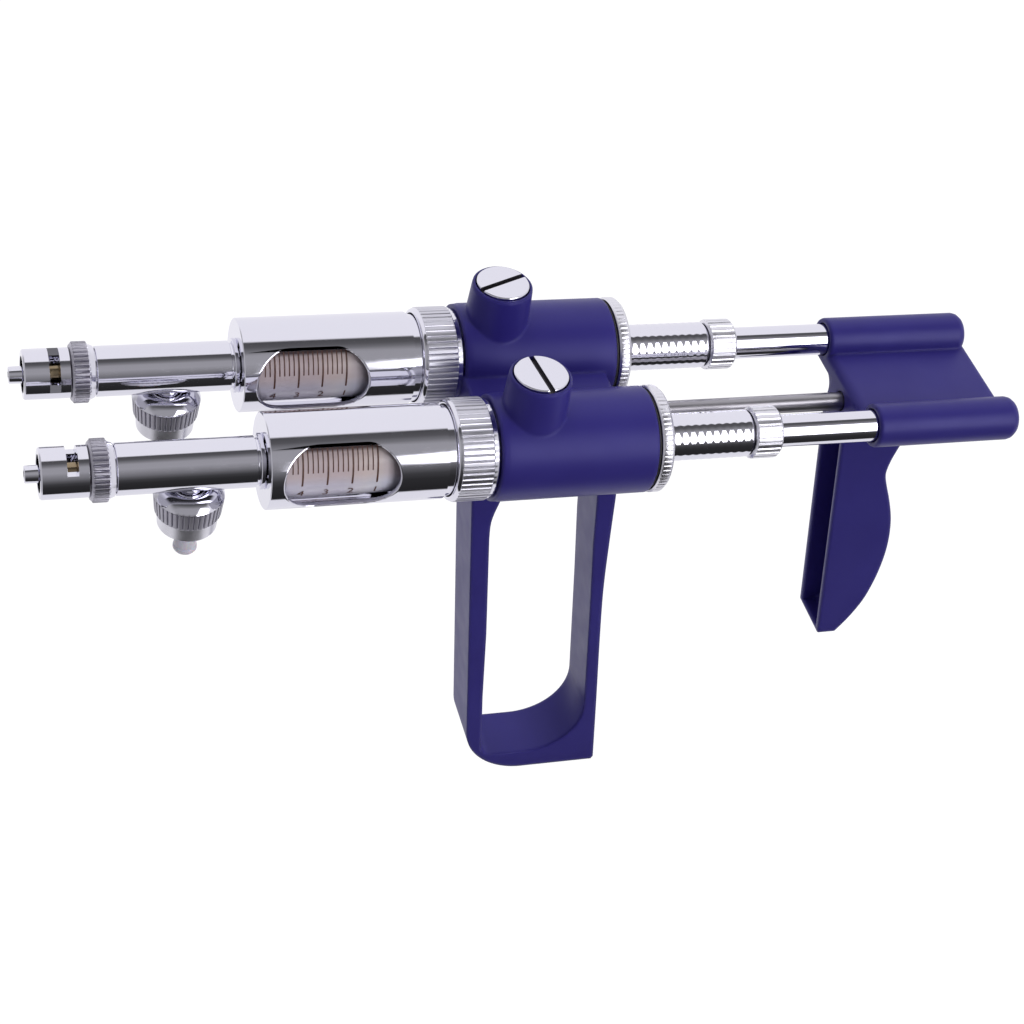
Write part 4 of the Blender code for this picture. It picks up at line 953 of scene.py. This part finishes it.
def body_shell():
    def lean(outline):
        return [(station + LOOP_LEAN * -height, height) for station, height in outline]
    rear_edge = [(37.6, -28.0), (36.9, -45.0), (36.4, -62.0), (36.6, -81.5), (37.1, -105.0),
                 (37.5, -128.0)]
    outline = [(-0.3, -6.4)] + arc((15.7, -115.5), 16.0, 180, 270, 20) + [(36.9, -131.5)]
    outline += smooth_line([(37.5, -130.5)] + rear_edge[::-1], 4) + [(37.5, -6.4)]
    loop = plate("loop", lean(outline), 7.5)
    corner = [(20.8, -12.8), (14.5, -15.6), (9.8, -20.5), (6.7, -28.0), (4.9, -34.0), (4.5, -40.0)]
    outline = smooth_line(corner, 4) + [(4.5, -75.0), (4.0, -100.0)]
    outline += arc((7.0, -122.3), 3.0, 180, 270, 6) + arc((16.0, -107.6), 17.7, 270, 360, 20)
    outline += [(33.1, -68.0), (32.6, -45.0)] + arc((29.7, -15.8), 3.0, 0, 90, 6)
    window = plate("window", lean(outline), 20.0)
    combine(loop, window, "DIFFERENCE")
    soften(loop, 0.8, 3, 50)
    shell = block("moulded_body", (0.0, -10.6, -12.8), (36.0, 10.6, 3.0))
    select_edges(shell, lambda a, b: a.z > 2.9 and b.z > 2.9 and abs(a.x - b.x) < 0.01 and a.x < 1)
    bpy.ops.mesh.bevel(offset=0.5 * MM, segments=3, affect="EDGES")
    bpy.ops.object.mode_set(mode="OBJECT")
    drill(shell, (40.8, 0.0, 0.0), -30.0, 20.0, 4.8, "Z", 64)
    combine(shell, loop, "UNION")
    cylinder = [(0.5, 0.0), (0.5, 12.35), (0.65, 12.6), (2.0, 12.7), (2.2, 12.8), (38.7, 12.8),
                (38.9, 12.7), (39.0, 12.5), (39.0, 0.0)]
    boss = [(6.0, 0.0), (6.0, 8.4), (10.2, 8.1), (11.4, 7.9), (13.0, 7.75), (20.6, 7.4),
            (21.3, 7.3), (21.6, 7.0), (21.6, 0.0)]
    bore = [(-2.0, 0.0), (-2.0, 10.2), (6.0, 10.2), (6.0, 6.1), (40.0, 6.1), (40.0, 0.0)]
    seat = [(3.0, 0.0), (3.0, 2.7), (18.9, 2.7), (18.9, 6.7), (23.0, 6.7), (23.0, 0.0)]

    def work_both_sides(operation, lying, lying_steps, standing, standing_steps):
        """Join or cut one form along each syringe, and one that stands at its screw."""
        for across in AXES.values():
            form = lathe("form", lying, (0.0, across, 0.0), "X", lying_steps, ring=False)
            combine(shell, form, operation)
            place = (BOSS_STATION, across, 0.0)
            form = lathe("form", standing, place, "Z", standing_steps, ring=False)
            combine(shell, form, operation)
    work_both_sides("UNION", cylinder, 128, boss, 96)
    work_both_sides("DIFFERENCE", bore, 96, seat, 72)
    drill(shell, GUIDE, 3.5, 50.0, 2.65)
    dress(shell, blue, "blue_plastic", "frame", "body_casting", angle=40)


# Handle

def handle_shell():
    palm = [(122.6, -1.7), (120.9, -6.0), (119.2, -12.0), (117.8, -18.7), (117.2, -22.1),
            (117.0, -25.6), (117.4, -28.0), (118.9, -31.7), (121.2, -36.8), (123.6, -43.1),
            (125.2, -49.4), (126.1, -55.8), (126.3, -62.2), (125.9, -68.7), (124.8, -75.2),
            (122.4, -81.6), (119.5, -GRIP_DROP)]
    grip = plate("grip", [(114.1, -GRIP_DROP), (HANDLE_FRONT, -13.0), (HANDLE_FRONT, -1.7)]
                 + smooth_line(palm, 4), 7.0)
    inside = [(station - 1.8, height) for station, height in smooth_line(palm[3:-1], 3)]
    channel = plate("channel", [(117.0, -85.5), (94.0, -85.5), (94.0, -14.3), (116.2, -14.3)]
                    + inside + [(118.3, -85.0)], 5.2)
    combine(grip, channel, "DIFFERENCE")
    soften(grip, 0.45, 3, 48)
    shell = block("moulded_handle", (HANDLE_FRONT, -17.0, -5.0), (HANDLE_REAR, 17.0, -0.7))
    select_edges(shell, lambda a, b: a.z > -0.8 and b.z > -0.8 and a.x < 101 and b.x < 101)
    bpy.ops.mesh.bevel(offset=2.2 * MM, segments=6, affect="EDGES")
    select_edges(shell, lambda a, b: a.x > 139 and b.x > 139 and abs(a.z - b.z) < 0.01)
    bpy.ops.mesh.bevel(offset=1.2 * MM, segments=4, affect="EDGES")
    bpy.ops.object.mode_set(mode="OBJECT")
    fillet = block("fillet", (HANDLE_FRONT + 0.2, -11.0, -9.0), (119.0, 11.0, -3.0))
    for across in (-11.0, 11.0):
        drill(fillet, (0.0, across, -9.0), 90.0, 150.0, 4.0, steps=64)
    combine(shell, fillet, "UNION")
    outline = [(HANDLE_FRONT, 0.0), (HANDLE_FRONT, 4.8), (100.6, 5.3), (101.1, 5.5), (137.4, 5.5),
               (138.4, 5.25), (139.3, 4.55), (139.85, 3.5), (HANDLE_REAR, 2.6), (HANDLE_REAR, 0.0)]
    for across in AXES.values():
        lobe = lathe("lobe", outline, (0.0, across, 0.0), steps=96, ring=False)
        combine(shell, lobe, "UNION")
    combine(shell, grip, "UNION")
    for across in AXES.values():
        drill(shell, (0.0, across, 0.0), 99.0, 124.4, 4.3, steps=64)
    drill(shell, GUIDE, 99.0, 110.2, 2.65)
    dress(shell, blue, "blue_plastic", "plunger", "rear_handle", angle=40)


# Springs, each coiled along the length of its spring part's box

def spring(name, start, length, centre, along, radius, wire, turns):
    """A coil: the round of the wire, screwed along the axis."""
    bpy.ops.object.select_all(action="DESELECT")
    bpy.ops.mesh.primitive_circle_add(vertices=8, radius=wire * MM, rotation=(math.pi / 2, 0, 0))
    coil = name_piece(name)
    bpy.ops.object.mode_set(mode="EDIT")
    bpy.ops.transform.translate(value=point(0, 0, radius) if along == "X" else point(radius, 0, 0))
    bpy.ops.object.mode_set(mode="OBJECT")
    screw = coil.modifiers.new("screw", "SCREW")
    screw.axis = along
    screw.screw_offset = (length - 2 * wire) / turns * MM
    screw.iterations = turns
    screw.steps = 20
    screw.render_steps = 20
    bpy.ops.object.modifier_apply(modifier=screw.name)
    if along == "X":
        shift = point(start + wire, centre[1], centre[2])
    else:
        shift = point(centre[0], centre[1], start + wire)
    bpy.ops.object.mode_set(mode="EDIT")
    bpy.ops.mesh.select_all(action="SELECT")
    bpy.ops.transform.translate(value=shift)
    bpy.ops.mesh.fill_holes(sides=12)
    tidy_mesh()
    bpy.ops.object.mode_set(mode="OBJECT")
    return coil


def springs():
    low, high = (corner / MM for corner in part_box("return_spring"))
    coil = spring("coiled_return_spring", low.x, high.x - low.x, GUIDE, "X", 1.2, 0.22, 30)
    dress(coil, steel, "steel", "frame", "return_spring")
    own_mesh(coil)
    for side in ("left", "right"):
        low, high = (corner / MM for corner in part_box(side + "_outlet_spring"))
        middle = (low + high) / 2
        coil = spring(side + "_outlet_coil", low.x, high.x - low.x, middle, "X", 1.7, 0.2, 3)
        dress(coil, steel, "steel", "frame", side + "_outlet_spring")
        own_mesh(coil)
        low, high = (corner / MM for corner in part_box(side + "_inlet_spring"))
        middle = (low + high) / 2
        coil = spring(side + "_inlet_coil", low.z, high.z - low.z, middle, "Z", 1.7, 0.2, 3)
        dress(coil, steel, "steel", "frame", side + "_inlet_spring")
        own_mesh(coil)


def finish_hidden_nodes():
    """CAD nodes that stay: gaskets, bushes, stop washers and balls."""
    finishes = {"front_gasket": black_rubber, "glass_bush": piston_plastic,
                "stop_washer": piston_plastic, "outlet_ball": steel, "inlet_ball": steel}
    for side in ("left", "right"):
        for kind, material in finishes.items():
            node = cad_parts[f"{side}_{kind}"]
            node.data.materials.clear()
            node.data.materials.append(material)


barrel_sleeves()
glass_tubes()
dose_scales()
barrel_rings()
front_tubes()
needle_nuts()
needle_ends()
inlet_nuts()
nipples()
boss_screws()
washers_and_lock_rings()
dose_screws()
dose_knobs()
piston_rods()
guide_rod()
body_shell()
handle_shell()
springs()
finish_hidden_nodes()
